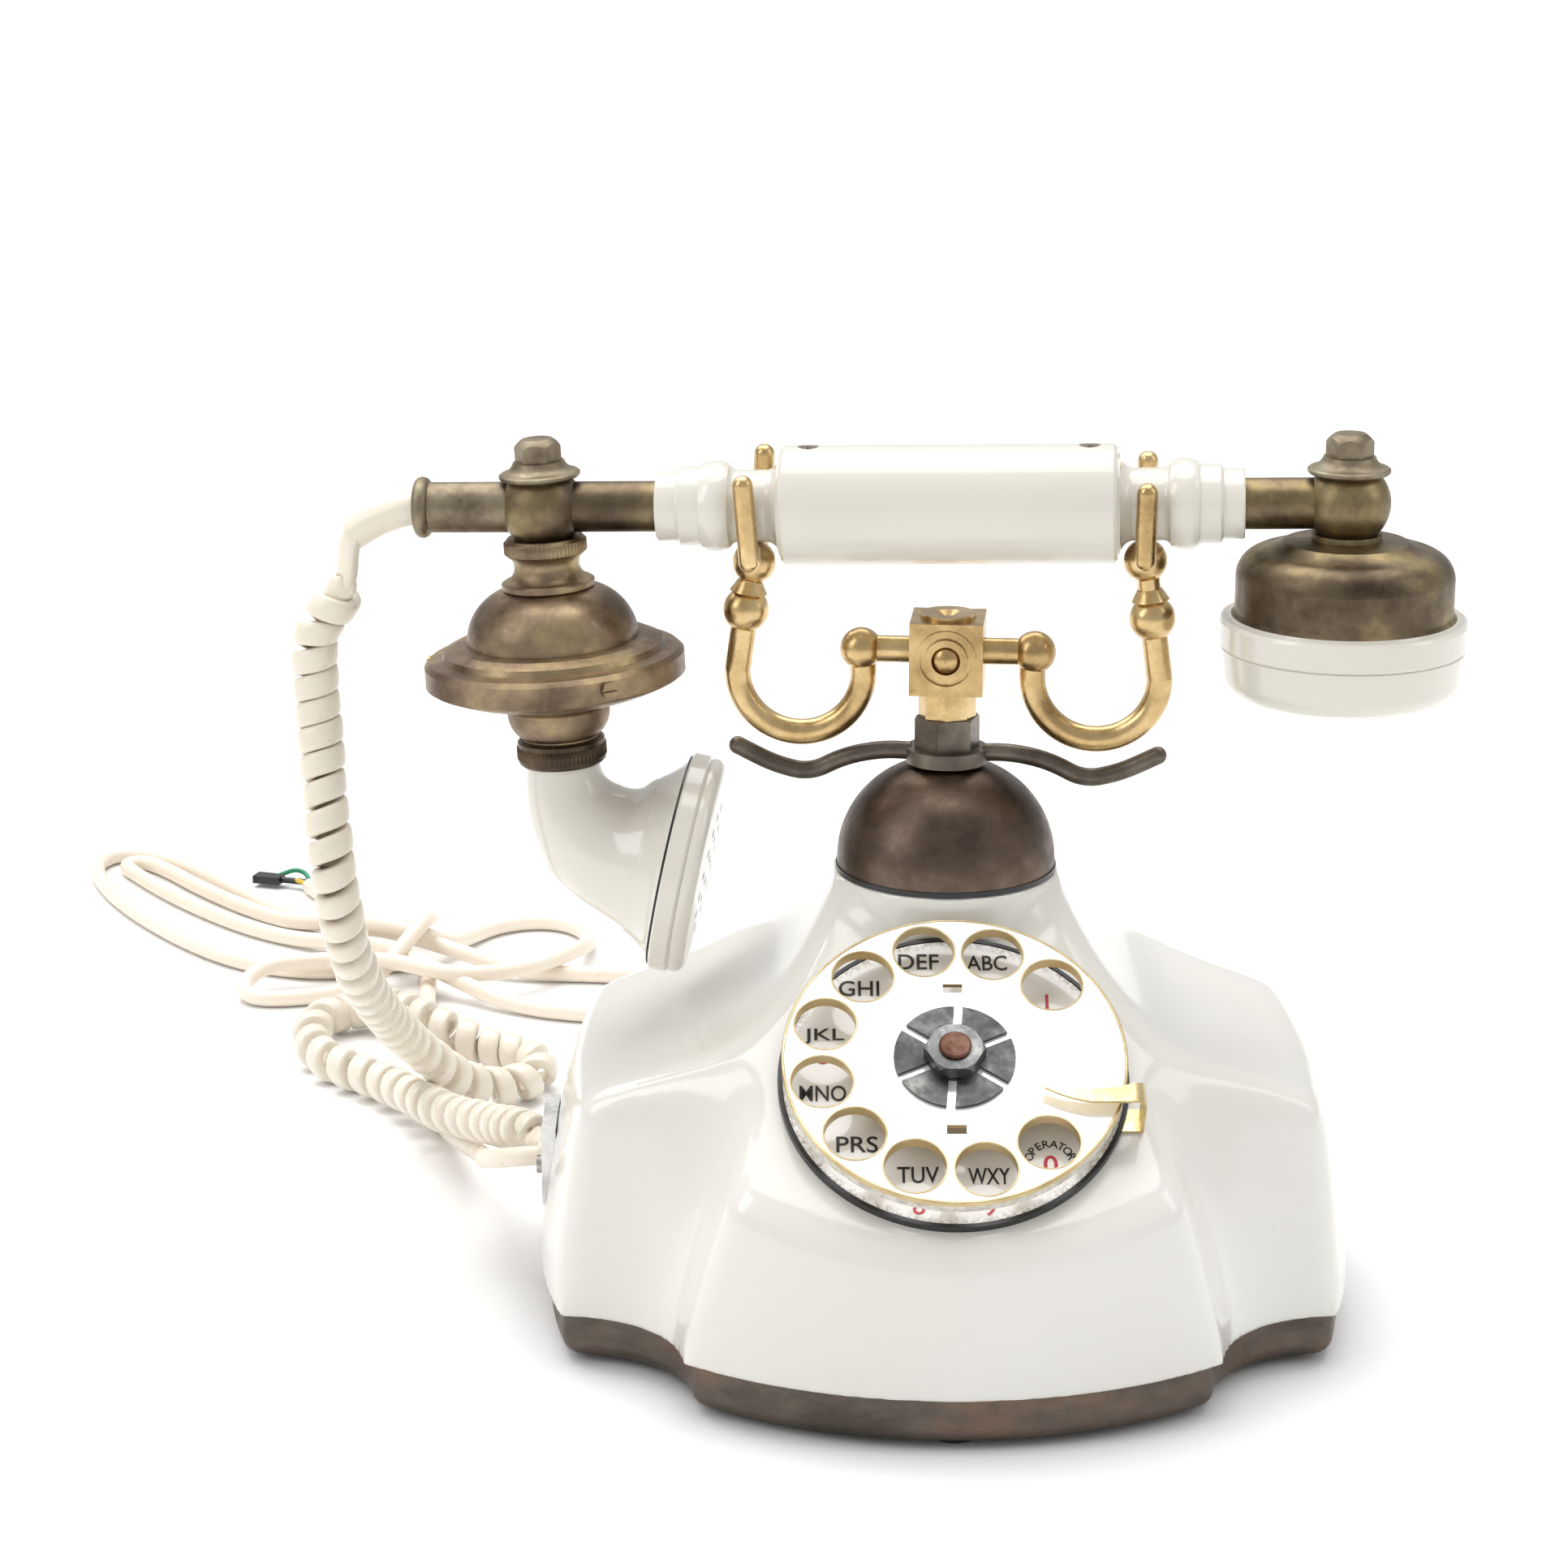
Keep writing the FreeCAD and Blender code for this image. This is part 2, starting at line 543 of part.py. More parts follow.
def wheel_retainer():
    """A six-petal spring disc."""
    frame = shifted(DIAL, z=0.05)
    disc = cut(cylinder(13.5, 0.8, frame), cylinder(3.2, 3, shifted(frame, z=-1)))
    for i in range(3):
        bar = block(40, 1.9, 3, shifted(frame, z=-1, rotation=Rotation(Z_AXIS, PETAL_TURN + 60 * i)))
        keep_middle = cylinder(6.2, 3, shifted(frame, z=-1))
        disc = cut(disc, cut(bar, keep_middle))
    return disc


node("wheel_retainer", wheel_retainer())
hub_frame = shifted(DIAL, z=0.9)
node("hub_nut", cut(common(prism(6, "Sizes.hub_flats", 3.6, hub_frame),
                           cone(14.6, 5.8, 5.4, shifted(hub_frame, z=-1.6))),
                    cylinder("Sizes.shaft_radius + 0.05", 20, shifted(hub_frame, z=-5))))
turned("dial_shaft", [(0, -24.5), ("Sizes.shaft_radius", -24.5), ("Sizes.shaft_radius", 4.6),
                      ("Sizes.shaft_radius + 0.5", 4.6), ("Sizes.shaft_radius + 0.5", 5.1),
                      ("Sizes.shaft_radius + 0.1", 5.5), (0, 5.5)], DIAL)


def gear_shape(teeth, module, thickness, bore):
    """A spur gear with straight-sided teeth and generous backlash."""
    pitch = teeth * module / 2
    root, tip, step = pitch - 1.15 * module, pitch + 0.7 * module, 2 * math.pi / teeth
    corners = []
    for i in range(teeth):
        for radius, share in ((root, -0.30), (tip, -0.10), (tip, 0.10), (root, 0.30)):
            angle = (i + share) * step
            corners.append(Vector(radius * math.cos(angle), radius * math.sin(angle), 0))
    blank = Part.Face(Part.makePolygon(corners + corners[:1])).extrude(Vector(0, 0, thickness))
    return blank.cut(Part.makeCylinder(bore, thickness * 3, Vector(0, 0, -thickness))) if bore else blank


GEAR_LOW, GEAR_THICK = -19.0, 3.0
gear_gap = (size("gear_teeth") + size("pinion_teeth")) * size("gear_module") / 2
main_gear = gear_shape(int(size("gear_teeth")), size("gear_module"), GEAR_THICK, size("shaft_radius") + 0.02)
shaped("main_gear", main_gear, shifted(DIAL, z=GEAR_LOW))
half_tooth = 180.0 / size("pinion_teeth")
pinion = gear_shape(int(size("pinion_teeth")), size("gear_module"), GEAR_THICK, 0)
pinion.rotate(Vector(), Z_AXIS, half_tooth)
pinion = pinion.fuse(Part.makeCylinder(1.5, 20.1, Vector(0, 0, -12.0)))
weights = Part.makeCylinder(8.5, 2.4, Vector(0, 0, -11.0)).cut(Part.makeCylinder(6.5, 3, Vector(0, 0, -11.5)))
spoke = Part.makeBox(14.0, 2.0, 2.4, Vector(-7.0, -1.0, -11.0))
governor_frame = shifted(DIAL, x=gear_gap, z=GEAR_LOW)
shaped("governor_pinion", pinion.multiFuse([weights, spoke]), governor_frame)


def dial_frame():
    """Two plates on three pillars carrying the shafts, with a pair of pulse contact blades."""
    plates = []
    for low in (-12.8, -24.0):
        disc = Part.makeCylinder(33.6, 1.4, Vector(0, 0, low))
        disc = disc.cut(Part.makeCylinder(size("shaft_radius") + 0.05, 5, Vector(0, 0, low - 1)))
        plates.append(disc.cut(Part.makeCylinder(1.55, 5, Vector(gear_gap, 0, low - 1))))
    pillars = []
    for angle in (75, 180, 285):
        place = Vector(29.5 * math.cos(math.radians(angle)), 29.5 * math.sin(math.radians(angle)), -23.0)
        pillars.append(Part.makeCylinder(2.2, 11.0, place))
    blades = [Part.makeBox(18.0, 0.6, 5.0, Vector(-26.0, -20.0 + 2.2 * i, -29.2)) for i in range(2)]
    blades.append(Part.makeBox(6.0, 5.0, 5.4, Vector(-28.0, -21.0, -29.2)))
    return plates[0].multiFuse([plates[1]] + pillars + blades)


shaped("dial_frame", dial_frame(), DIAL)
turned("main_spring_barrel", [(4.0, -24.0), (14.0, -24.0), (14.0, -33.0), (0, -33.0), (0, -31.6), (12.6, -31.6),
                         (12.6, -25.7), (4.0, -25.7)], DIAL)


STOP_LOW, STOP_TOP, STOP_THICK = -9.9, 3.2, 0.8
STOP_INNER, STOP_BEND = 41.0, 2.6       # where the riser stands, and the radius of its upper corner
STOP_NEAR, STOP_WIDE = -13.3, 5.9       # the riser's lower side, and its width
STOP_PLAN = [(19.8, 5.2), (30.0, 3.0), (42.5, 5.9), (42.5, 0.0), (40.0, 0.0), (29.6, -0.4), (20.2, 3.0),
             (19.1, 4.2)]


def finger_stop():
    """A brass strip: a foot reaching under from the cup's edge, a riser, and a crescent over the wheel."""
    outer, under = STOP_INNER + STOP_THICK, STOP_TOP - STOP_THICK
    near, wide, bend = STOP_NEAR - 0.4, STOP_WIDE + 1.2, STOP_BEND + STOP_THICK
    slant = 1 - math.sqrt(0.5)
    side = arc_wire([
        Vector(STOP_INNER, near, STOP_LOW), Vector(STOP_INNER, near, under - STOP_BEND),
        ("arc", Vector(STOP_INNER - STOP_BEND * slant, near, under - STOP_BEND * slant)),
        Vector(STOP_INNER - STOP_BEND, near, under), Vector(18.0, near, under), Vector(18.0, near, STOP_TOP),
        Vector(STOP_INNER - STOP_BEND, near, STOP_TOP),
        ("arc", Vector(outer - bend * slant, near, STOP_TOP - bend * slant)),
        Vector(outer, near, under - STOP_BEND), Vector(outer, near, STOP_LOW)])
    strip = Part.Face(side).extrude(Vector(0, wide, 0))
    plan = [Vector(x, STOP_NEAR + y, -12) for x, y in STOP_PLAN]
    crescent = strip.common(Part.Face(arc_wire([
        plan[0], ("arc", plan[1]), plan[2], plan[3], plan[4], ("arc", plan[5]), plan[6], ("arc", plan[7])
    ])).extrude(Vector(0, 0, 20)))
    foot = Part.makeBox(outer - 35.0, STOP_WIDE, STOP_THICK, Vector(35.0, STOP_NEAR, STOP_LOW))
    return crescent.fuse(foot.cut(Part.makeCylinder(size("cup_radius") + 0.05, 5, Vector(0, 0, STOP_LOW - 2))))


shaped("finger_stop", finger_stop(), DIAL)

# ---------------------------------------------------------------- cradle: plunger, cube, arms, balls, forks
COLLAR_LOW = nut_low + size("nut_height") + 0.1
CUBE_LOW = size("cube_z") - size("cube_side") / 2
PLUNGER_LOW = 72.0
node("plunger_rod", cylinder("Sizes.plunger_radius", COLLAR_LOW - PLUNGER_LOW,
                             shifted(CRADLE, z=PLUNGER_LOW)))
collar_frame = shifted(CRADLE, z=COLLAR_LOW)
node("cradle_collar", common(prism(8, "12.3", CUBE_LOW - COLLAR_LOW, collar_frame),
                             cone(12.4, 5.2, 9.6, shifted(collar_frame, z=-1.4))))
cube_face = shifted(CRADLE, y=-size("cube_side") / 2, z=size("cube_z"), rotation=Rotation(X_AXIS, 90))
cube = block("Sizes.cube_side", "Sizes.cube_side", "Sizes.cube_side", shifted(CRADLE, z=CUBE_LOW))
cube = fuse([cube, cylinder(7.0, 0.5, cube_face), cylinder(6.4, 1.0, shifted(CRADLE, z=CUBE_LOW + 16.9))])
cube_groove = cut(cylinder(6.0, 2.0, shifted(cube_face, z=-0.5)), cylinder(4.9, 4.0, shifted(cube_face, z=-1.0)))
cube = cut(cube, cube_groove)
cube = cut(cube, cylinder(3.3, 2.0, shifted(cube_face, z=-0.7)))
cube = fuse([cube, common(ball(3.8, shifted(cube_face, z=-2.4)), cylinder(3.6, 4.0, shifted(cube_face, z=-1.0)))])
node("cradle_cube", cut(cube, cone(0.6, 3.2, 1.4, shifted(CRADLE, z=CUBE_LOW + 16.6))))


PRONG_SPLAY = {-1: (-1.5, 1.3), 1: (0.2, 0.0)}     # how far each prong leans sideways, front and rear
PRONG_RISE = (-0.9, 2.0)


def cradle_side(side, splay):
    """One half of the cradle: cross rod, U-shaped arm, two balls, and the fork with its stem."""
    inner = Vector(side * size("inner_ball_x"), 0, size("ball_z"))
    outer = Vector(side * size("outer_ball_x"), 0, size("outer_ball_z"))
    rod = Part.makeCylinder(3.1, abs(inner.x) - size("cube_side") / 2 - 3.4,
                            Vector(side * size("cube_side") / 2, 0, inner.z), Vector(side, 0, 0))
    centre = Vector(side * (abs(inner.x) - 0.5 + size("u_radius")), 0, size("u_low") + size("u_radius"))
    near, far = centre - Vector(side * size("u_radius"), 0, 0), centre + Vector(side * size("u_radius"), 0, 0)
    disc = Part.Face(Part.Wire(Part.makeCircle(size("tube_radius"), near, Z_AXIS)))
    bend = disc.revolve(centre, Vector(0, -side, 0), 180)
    rise = Part.makeCylinder(size("tube_radius"), inner.z - 2.0 - near.z, near)
    slope = outer - far
    lift = Part.makeCylinder(size("tube_radius"), slope.Length - 2.0, far, slope)
    arm = bend.multiFuse([rise, lift, Part.makeSphere(size("tube_radius"), far)]).removeSplitter()
    balls = [Part.makeSphere(size("inner_ball"), inner), Part.makeSphere(size("outer_ball"), outer)]
    saddle = Vector(side * size("fork_x"), 0, size("axis_z") + side * size("fork_x") * math.tan(
        math.radians(size("handset_tilt"))) - size("groove_radius") - size("fork_rod") - 0.06)
    up = (saddle - outer).normalize()
    stem_start = outer + up * 4.0
    stem = Part.makeCylinder(2.6, (saddle - stem_start).Length, stem_start, up)
    skirt = Part.makeCone(4.4, 2.9, 2.6, outer + up * 4.3, up)
    reach, rod_radius = size("fork_half"), size("fork_rod")
    knuckle_ball = Part.makeSphere(5.0, saddle - Vector(0, 0, 2.4))
    cross_bar = Part.makeCylinder(rod_radius, reach * 2, saddle - Vector(0, reach, 0), Y_AXIS)
    prongs = []
    for y, drift, rise in zip((-reach, reach), splay, PRONG_RISE):
        foot, top = saddle + Vector(0, y, 0), Vector(saddle.x + drift, y, size("fork_top") + rise - rod_radius)
        prongs += [Part.makeCylinder(rod_radius, (top - foot).Length, foot, top - foot),
                   Part.makeSphere(rod_radius, foot), Part.makeSphere(rod_radius, top)]
    groove = Part.makeCylinder(size("groove_radius") + 0.08, 30,
                               saddle + Vector(-15, 0, size("groove_radius") + rod_radius + 0.06), X_AXIS)
    fork = cross_bar.multiFuse(prongs + [stem, skirt, knuckle_ball]).cut(groove)
    fork = fork.cut(balls[1]).removeSplitter()
    rims = rod.fuse(arm)
    return rod, arm, [piece.cut(rims) for piece in balls], fork


rods, arms, balls, forks = [], [], [], []
for side, splay in PRONG_SPLAY.items():
    rod, arm, pair, fork = cradle_side(side, splay)
    rods.append(rod)
    arms.append(arm)
    balls += pair
    forks.append(fork)
for label, pieces in (("cross_rods", rods), ("cradle_arms", arms), ("cradle_balls", balls),
                      ("cradle_forks", forks)):
    shaped(label, Part.makeCompound(pieces), CRADLE)

# ---------------------------------------------------------------- handset
BARREL_FRAME = HANDSET * ALONG_X
LEFT_END = HANDSET * Placement(Vector(), Rotation(Z_AXIS, 180)) * ALONG_X
SCREW_S = 32.0
barrel = turned("barrel_form", [(0, -38.3), (13.0, -38.3), ("Sizes.barrel_radius", -37.5),
                                ("Sizes.barrel_radius", 37.5), (13.0, 38.3), (0, 38.3)], BARREL_FRAME, keep=False)
screws = [fuse([cylinder(2.5, 1.4, shifted(HANDSET, x, 0, 11.9)), cylinder(1.4, 6.0, shifted(HANDSET, x, 0, 5.9))])
          for x in (-SCREW_S, SCREW_S)]
wells = [cylinder(2.5, 5.0, shifted(HANDSET, x, 0, 11.9)) for x in (-SCREW_S, SCREW_S)]
node("handle_barrel", cut(barrel, fuse(screws + wells)))
node("handle_screws", group([cut(screw, block(0.8, 8, 1.0, shifted(HANDSET, x, 0, 12.7)))
                             for screw, x in zip(screws, (-SCREW_S, SCREW_S))]))
END_OUTLINE = [(0, 38.3), (11.6, 38.3), (11.6, 38.9, 0.35), ("Sizes.groove_radius", 41.6),
               ("Sizes.groove_radius", 48.2, 0.35), (9.6, "Sizes.groove_end", -0.28), (9.6, 56.6),
               (9.1, 56.9), (9.1, 61.5), (8.8, 61.8), (8.1, 62.2), (8.1, 66.6),
               (7.8, "Sizes.end_half"), (0, "Sizes.end_half")]
node("handle_ends", group([turned("end_form", END_OUTLINE, frame, keep=False)
                           for frame in (BARREL_FRAME, LEFT_END)]))


def knuckle_span(radius, knuckle, outward):
    """Where a tube of the given radius meets a knuckle's round side."""
    return knuckle + outward * (math.sqrt(size("knuckle_radius") ** 2 - radius ** 2) - 0.6)


brass = size("brass_radius")
left_tube = (knuckle_span(brass, size("knuckle_left"), 1), -size("end_half"))
right_tube = (size("end_half"), knuckle_span(brass, size("knuckle_right"), -1))
node("handle_tube", group([cylinder(brass, high - low, shifted(BARREL_FRAME, z=low))
                           for low, high in (left_tube, right_tube)]))
cord_start = knuckle_span(brass, size("knuckle_left"), -1)
turned("cord_tube", [(0, cord_start), (0, -117.0), (4.0, -117.0), (4.0, -123.5), (5.5, -123.5, -0.78),
                     ("Sizes.brass_radius", -119.9), ("Sizes.brass_radius", cord_start)], BARREL_FRAME)


def knuckle(frame, tubes):
    ball_part = ball("Sizes.knuckle_radius", frame)
    slab = cylinder(12, "Sizes.knuckle_half * 2", shifted(frame, z=-size("knuckle_half")))
    body = common(ball_part, slab)
    for low, high in tubes:
        body = cut(body, cylinder(brass, high - low, shifted(BARREL_FRAME, z=low)))
    return body


node("elbow_balls", group([knuckle(TRANSMITTER, [left_tube, (-120, cord_start)]),
                           knuckle(RECEIVER, [right_tube])]))
FINIAL = [(0, 6.9), (9.0, 6.9), ("Sizes.finial_radius", 7.3), ("Sizes.finial_radius", 7.9), (8.9, 8.3, 0.3),
          (5.9, 10.8), (0, 10.8)]
node("finials", group([turned("finial_form", FINIAL, frame, keep=False) for frame in (TRANSMITTER, RECEIVER)]))
node("elbow_nuts", group([
    common(prism(6, "Sizes.acorn_flats", 5.2, shifted(frame, z=10.8)), ball(6.6, shifted(frame, z=10.4)))
    for frame in (TRANSMITTER, RECEIVER)]))

# transmitter: knurled collar, waisted neck, domed shell, cover cup, ring, bent horn, mouth cap
turned("transmitter_collar", [(0, -6.9), (8.7, -6.9), (9.2, -7.5), (9.2, -10.6), (8.7, -11.2), (0, -11.2)],
       TRANSMITTER)
turned("transmitter_neck", [(0, -11.2), (8.4, -11.2, -0.55), (10.2, -17.0), (10.8, -17.4), (10.8, -18.5),
                            (10.4, -18.9), (0, -18.9)], TRANSMITTER)
RIM_SCREWS, RIM_HEAD = (-58.0, 168.0, 50.0), 2.3
rim_frames = [shifted(TRANSMITTER, z=-37.6, rotation=Rotation(Z_AXIS, angle)) * ALONG_X
              for angle in RIM_SCREWS]
shell_form_body = turned("transmitter_form", [
    (0, -18.9), (10.2, -18.9, 0.34), ("Sizes.dome_radius", -31.0), (23.0, -31.4), (25.6, -32.6), (26.2, -34.0),
    (29.2, -34.5), ("Sizes.disc_radius", -35.6), ("Sizes.disc_radius", -40.2), (26.8, -40.2), (26.8, -37.0),
    (18.4, -33.6), (17.6, -31.0, -0.3), (9.0, -21.0), (0, -21.0)], TRANSMITTER, keep=False)
rim_pockets = [fuse([cylinder(0.9, 2.0, shifted(frame, z=27.4)), cylinder(1.9, 3.0, shifted(frame, z=29.3))])
               for frame in rim_frames]
node("transmitter_shell", cut(shell_form_body, fuse(rim_pockets)))
node("cover_screws", group([
    cut(fuse([cylinder(0.9, 2.0, shifted(frame, z=27.4)), cylinder(1.9, RIM_HEAD, shifted(frame, z=29.3))]),
        block(0.6, 6, 1.0, shifted(frame, z=28.7 + RIM_HEAD))) for frame in rim_frames]))
turned("transmitter_cover", [(29.6, -40.2), (29.2, -41.0, 0.08), (13.6, -45.6), (12.2, -46.6), (12.4, -47.0),
                             (12.0, -47.4), (12.0, -48.6, 0.22), (9.2, -54.2), (9.2, -54.6), (7.2, -54.6),
                             (7.2, -48.0), (10.6, -45.0), (25.4, -40.2)],
       TRANSMITTER)
turned("transmitter_capsule", [(0, -40.2), (26.4, -40.2), (26.4, -38.6), (17.0, -34.4), (0, -34.4)],
       TRANSMITTER)
turned("transmitter_ring", [(7.2, -54.6), (9.6, -54.6), (10.2, -55.2), (10.2, -60.2), (9.6, -60.8), (7.2, -60.8)],
       TRANSMITTER)
HORN_PATH = [      # distance along the handset, height, radius, direction of the centreline
    (-89.6, 129.2, 8.5, -86), (-89.2, 123.7, 9.6, -80), (-87.0, 117.6, 11.7, -60), (-82.8, 112.3, 13.8, -42),
    (-77.0, 109.2, 15.8, -24), (-71.2, 107.3, 18.4, -13), (-67.5, 106.6, 21.5, -11.3), (-65.0, 106.1, 24.6, -11.3)]


SEAM_STATION, SEAM_LIP = 5, 0.45     # the flared bowl starts at this ring, a little wider than the bend


def horn_ring(station, grown):
    x, z, radius, angle = station
    way = Vector(math.cos(math.radians(angle)), 0, math.sin(math.radians(angle)))
    return Part.Wire(Part.makeCircle(radius + grown, Vector(x, 0, z), way))


def horn_loft(inset):
    """The bent horn and, past a seam, the flared bowl it is glued into."""
    bend = [horn_ring(station, -inset) for station in HORN_PATH[:SEAM_STATION + 1]]
    bowl = [horn_ring(station, -inset + (SEAM_LIP if i == 0 else 0.0))
            for i, station in enumerate(HORN_PATH[SEAM_STATION:])]
    return Part.makeLoft(bend, True, False).fuse(Part.makeLoft(bowl, True, False))


ring_bottom = (CRADLE.inverse() * TRANSMITTER).multVec(Vector(0, 0, -60.8))
ring_way = (CRADLE.inverse() * TRANSMITTER).Rotation.multVec(Vector(0, 0, -1))
HORN_PATH[0] = (ring_bottom.x, ring_bottom.z, 8.5, math.degrees(math.atan2(ring_way.z, ring_way.x)))
shaped("mouth_horn", horn_loft(0.0).cut(horn_loft(1.5)), CRADLE)
MOUTH = shifted(CRADLE, -65.0, 0, 106.1, Rotation(Y_AXIS, 90 + size("horn_mouth_dip")))
turned("horn_gasket", [(22.8, 0), (25.0, 0), (25.0, 0.6), (22.8, 0.6)], MOUTH)


def mouth_cap():
    form = turned("mouth_form", [
        (23.4, 0.6), (25.6, 0.6), ("Sizes.mouth_radius", 1.0), ("Sizes.mouth_radius", 4.6), (25.5, 5.0),
        (25.2, 5.2), (25.6, 5.5), (25.6, 6.2, -0.4), (23.0, 8.8, -0.026), (0, 9.9), (0, 7.2), (22.4, 7.2), (23.4, 5.0)],
        MOUTH, keep=False)
    drills = [cylinder(1.1, 5, shifted(MOUTH, z=6.0))]
    for radius, count in ((5.0, 6), (10.0, 12), (15.0, 18)):
        for i in range(count):
            turn = 2 * math.pi * i / count
            place = shifted(MOUTH, radius * math.cos(turn), radius * math.sin(turn), 6.0)
            drills.append(cylinder(1.1, 5, place))
    return cut(form, group(drills))


node("mouth_cap", mouth_cap())

# receiver: shouldered shell, ring and cap with an earpiece inside
turned("receiver_shell", [
    (0, -6.9), (8.0, -6.9), (8.0, -8.2), (14.2, -8.8, -0.12), (19.0, -10.8, 0.36),
    ("Sizes.receiver_radius", -16.6), ("Sizes.receiver_radius", -25.0), (25.6, -25.9), (22.6, -25.9),
    (22.6, -16.8, -0.3), (17.4, -12.4), (0, -12.4)], RECEIVER)
turned("receiver_ring", [(22.6, -25.9), (25.7, -25.9), (26.2, -26.6), (27.2, -26.2), (27.8, -26.4),
                         ("Sizes.cap_radius", -27.2), ("Sizes.cap_radius", -32.6), (27.8, -33.0), (22.6, -33.0)],
       RECEIVER)
turned("receiver_cap", [(24.4, -33.0), (27.4, -33.0), (27.8, -33.4), (27.1, -40.0, 0.35), (22.8, -44.4),
                        (3.0, -44.4), (3.0, -42.2), (22.0, -42.2, -0.25), (24.4, -39.0)], RECEIVER)
turned("receiver_capsule", [(0, -42.2), (20.0, -42.2), (20.0, -35.0), (8.0, -35.0), (8.0, -31.0), (0, -31.0)],
       RECEIVER)

# ---------------------------------------------------------------- inside the base
STAND = size("foot_height") + 2.0
post_frames = [shifted(WORLD, x, y, STAND) for x, y in SCREW_PLACES]


def hook_switch():
    """A bracket under the plunger with a hinged lever, contact springs and a coil's housing."""
    stand = Part.makeBox(4.0, 16.0, PLUNGER_LOW - 8.0 - STAND, Vector(10.0, -8.0, STAND))
    shelf = Part.makeBox(26.0, 16.0, 3.0, Vector(-12.0, -8.0, PLUNGER_LOW - 8.0))
    lever = Part.makeBox(24.0, 8.0, 2.0, Vector(-11.0, -4.0, PLUNGER_LOW - 2.05))
    stops = Part.makeBox(3.0, 8.0, 3.0, Vector(9.0, -4.0, PLUNGER_LOW - 5.0))
    springs = [Part.makeBox(20.0, 3.0, 0.6, Vector(-12.0, 4.6, PLUNGER_LOW - 14.0 - 3.0 * i)) for i in range(2)]
    block_part = Part.makeBox(8.0, 5.0, 12.0, Vector(4.0, 3.4, PLUNGER_LOW - 20.0))
    foot = Part.makeBox(20.0, 20.0, 2.0, Vector(4.0, -10.0, STAND))
    return stand.multiFuse([shelf, lever, stops, block_part, foot] + springs).removeSplitter()


shaped("hook_switch", hook_switch())


def gong(x, y):
    outer = Part.makeSphere(21.0, Vector(x, y, 12.0), Z_AXIS, 0, 90, 360)
    inner = Part.makeSphere(19.4, Vector(x, y, 12.0), Z_AXIS, 0, 90, 360)
    shell = outer.cut(inner).cut(Part.makeBox(60, 60, 20, Vector(x - 30, y - 30, 6.0)).cut(
        Part.makeBox(60, 60, 8, Vector(x - 30, y - 30, 18.0))))
    stem = Part.makeCylinder(2.5, 34.0 - STAND, Vector(x, y, STAND))
    return shell.multiFuse([stem])


shaped("ringer_gongs", Part.makeCompound([gong(-30.0, 46.0), gong(30.0, 46.0)]))


def ringer_motor():
    """Two coils on a yoke, and the clapper rod reaching between the gongs."""
    yoke = Part.makeBox(40.0, 16.0, 2.4, Vector(-20.0, 11.5, STAND))
    coils = [Part.makeCylinder(7.0, 24.0, Vector(x, 19.5, STAND)) for x in (-11.0, 11.0)]
    bridge = Part.makeBox(34.0, 10.0, 2.0, Vector(-17.0, 14.5, STAND + 24.0))
    rod = Part.makeCylinder(1.0, 26.5, Vector(0, 19.5, STAND + 22.5), Y_AXIS)
    return yoke.multiFuse(coils + [bridge, rod, Part.makeSphere(3.2, Vector(0, 46.0, STAND + 22.5))])


shaped("ringer_motor", ringer_motor())
network = block(42.0, 24.0, 12.0, shifted(WORLD, -38.0, -22.0, STAND))
terminals = [cylinder(2.0, 3.0, shifted(WORLD, -54.0 + 8.0 * i, -28.0, STAND + 12.0)) for i in range(5)]
node("network_block", fuse([network] + terminals))

# ---------------------------------------------------------------- gland on the left wing
clamp = Part.makeBox(3.4, 24.0, 19.0, Vector(-94.9, -11.0, GLAND_Z - 9.5)).cut(NODES["base_shell"].Shape)
clamp = max(clamp.Solids, key=lambda solid: solid.Volume)
grommets = []
for y in CORD_HOLES:
    clamp = clamp.cut(Part.makeCylinder(3.4, 12, Vector(-98, y, GLAND_Z), X_AXIS))
    sleeve = Part.makeCylinder(3.4, 6.0, Vector(-96.0, y, GLAND_Z), X_AXIS)
    sleeve = sleeve.fuse(Part.makeCone(3.0, 3.8, 1.1, Vector(-96.0, y, GLAND_Z), X_AXIS))
    grommets.append(sleeve.cut(Part.makeCylinder(2.45, 12, Vector(-98, y, GLAND_Z), X_AXIS)))
clamp = clamp.cut(Part.makeCylinder(1.2, 12, Vector(-98, CLAMP_SCREW_Y, GLAND_Z), X_AXIS))
shaped("cord_clamp_plate", clamp)
shaped("cord_grommets", Part.makeCompound(grommets))

# ---------------------------------------------------------------- cords, with their real routes
CURLY_ROUTE = [
    (-139.6, 12, 171), (-142.6, 12, 165.5), (-147, 12, 160), (-147.3, 12, 150), (-146.2, 10, 134),
    (-144.9, 6, 117), (-143.4, 4, 101.7), (-142, 12, 84), (-140.6, 30, 68), (-139.6, 54, 54), (-138.2, 78, 40.5),
    (-134.4, 98, 27.5), (-127.5, 112, 15.5), (-120.5, 119.5, 8.6), (-114, 124.5, 6), (-107, 130, 6),
    (-103.5, 140, 6), (-108, 149.5, 6), (-119, 153, 7), (-130, 157, 10.5), (-139, 168, 11.4),
    (-147.8, 185.2, 8.5), (-157, 189, 6.3), (-166.2, 185.2, 6), (-170, 176, 6), (-169.5, 163, 6),
    (-166, 151.5, 6), (-159.5, 142, 6), (-151, 134, 6), (-143.5, 125, 6.5), (-137.5, 112.5, 8.6), (-131, 98, 11),
    (-125, 83, 14), (-118, 67, 18.5), (-109, 45, 25), (-102.5, 26, 31), (-99.5, 16, 34)]
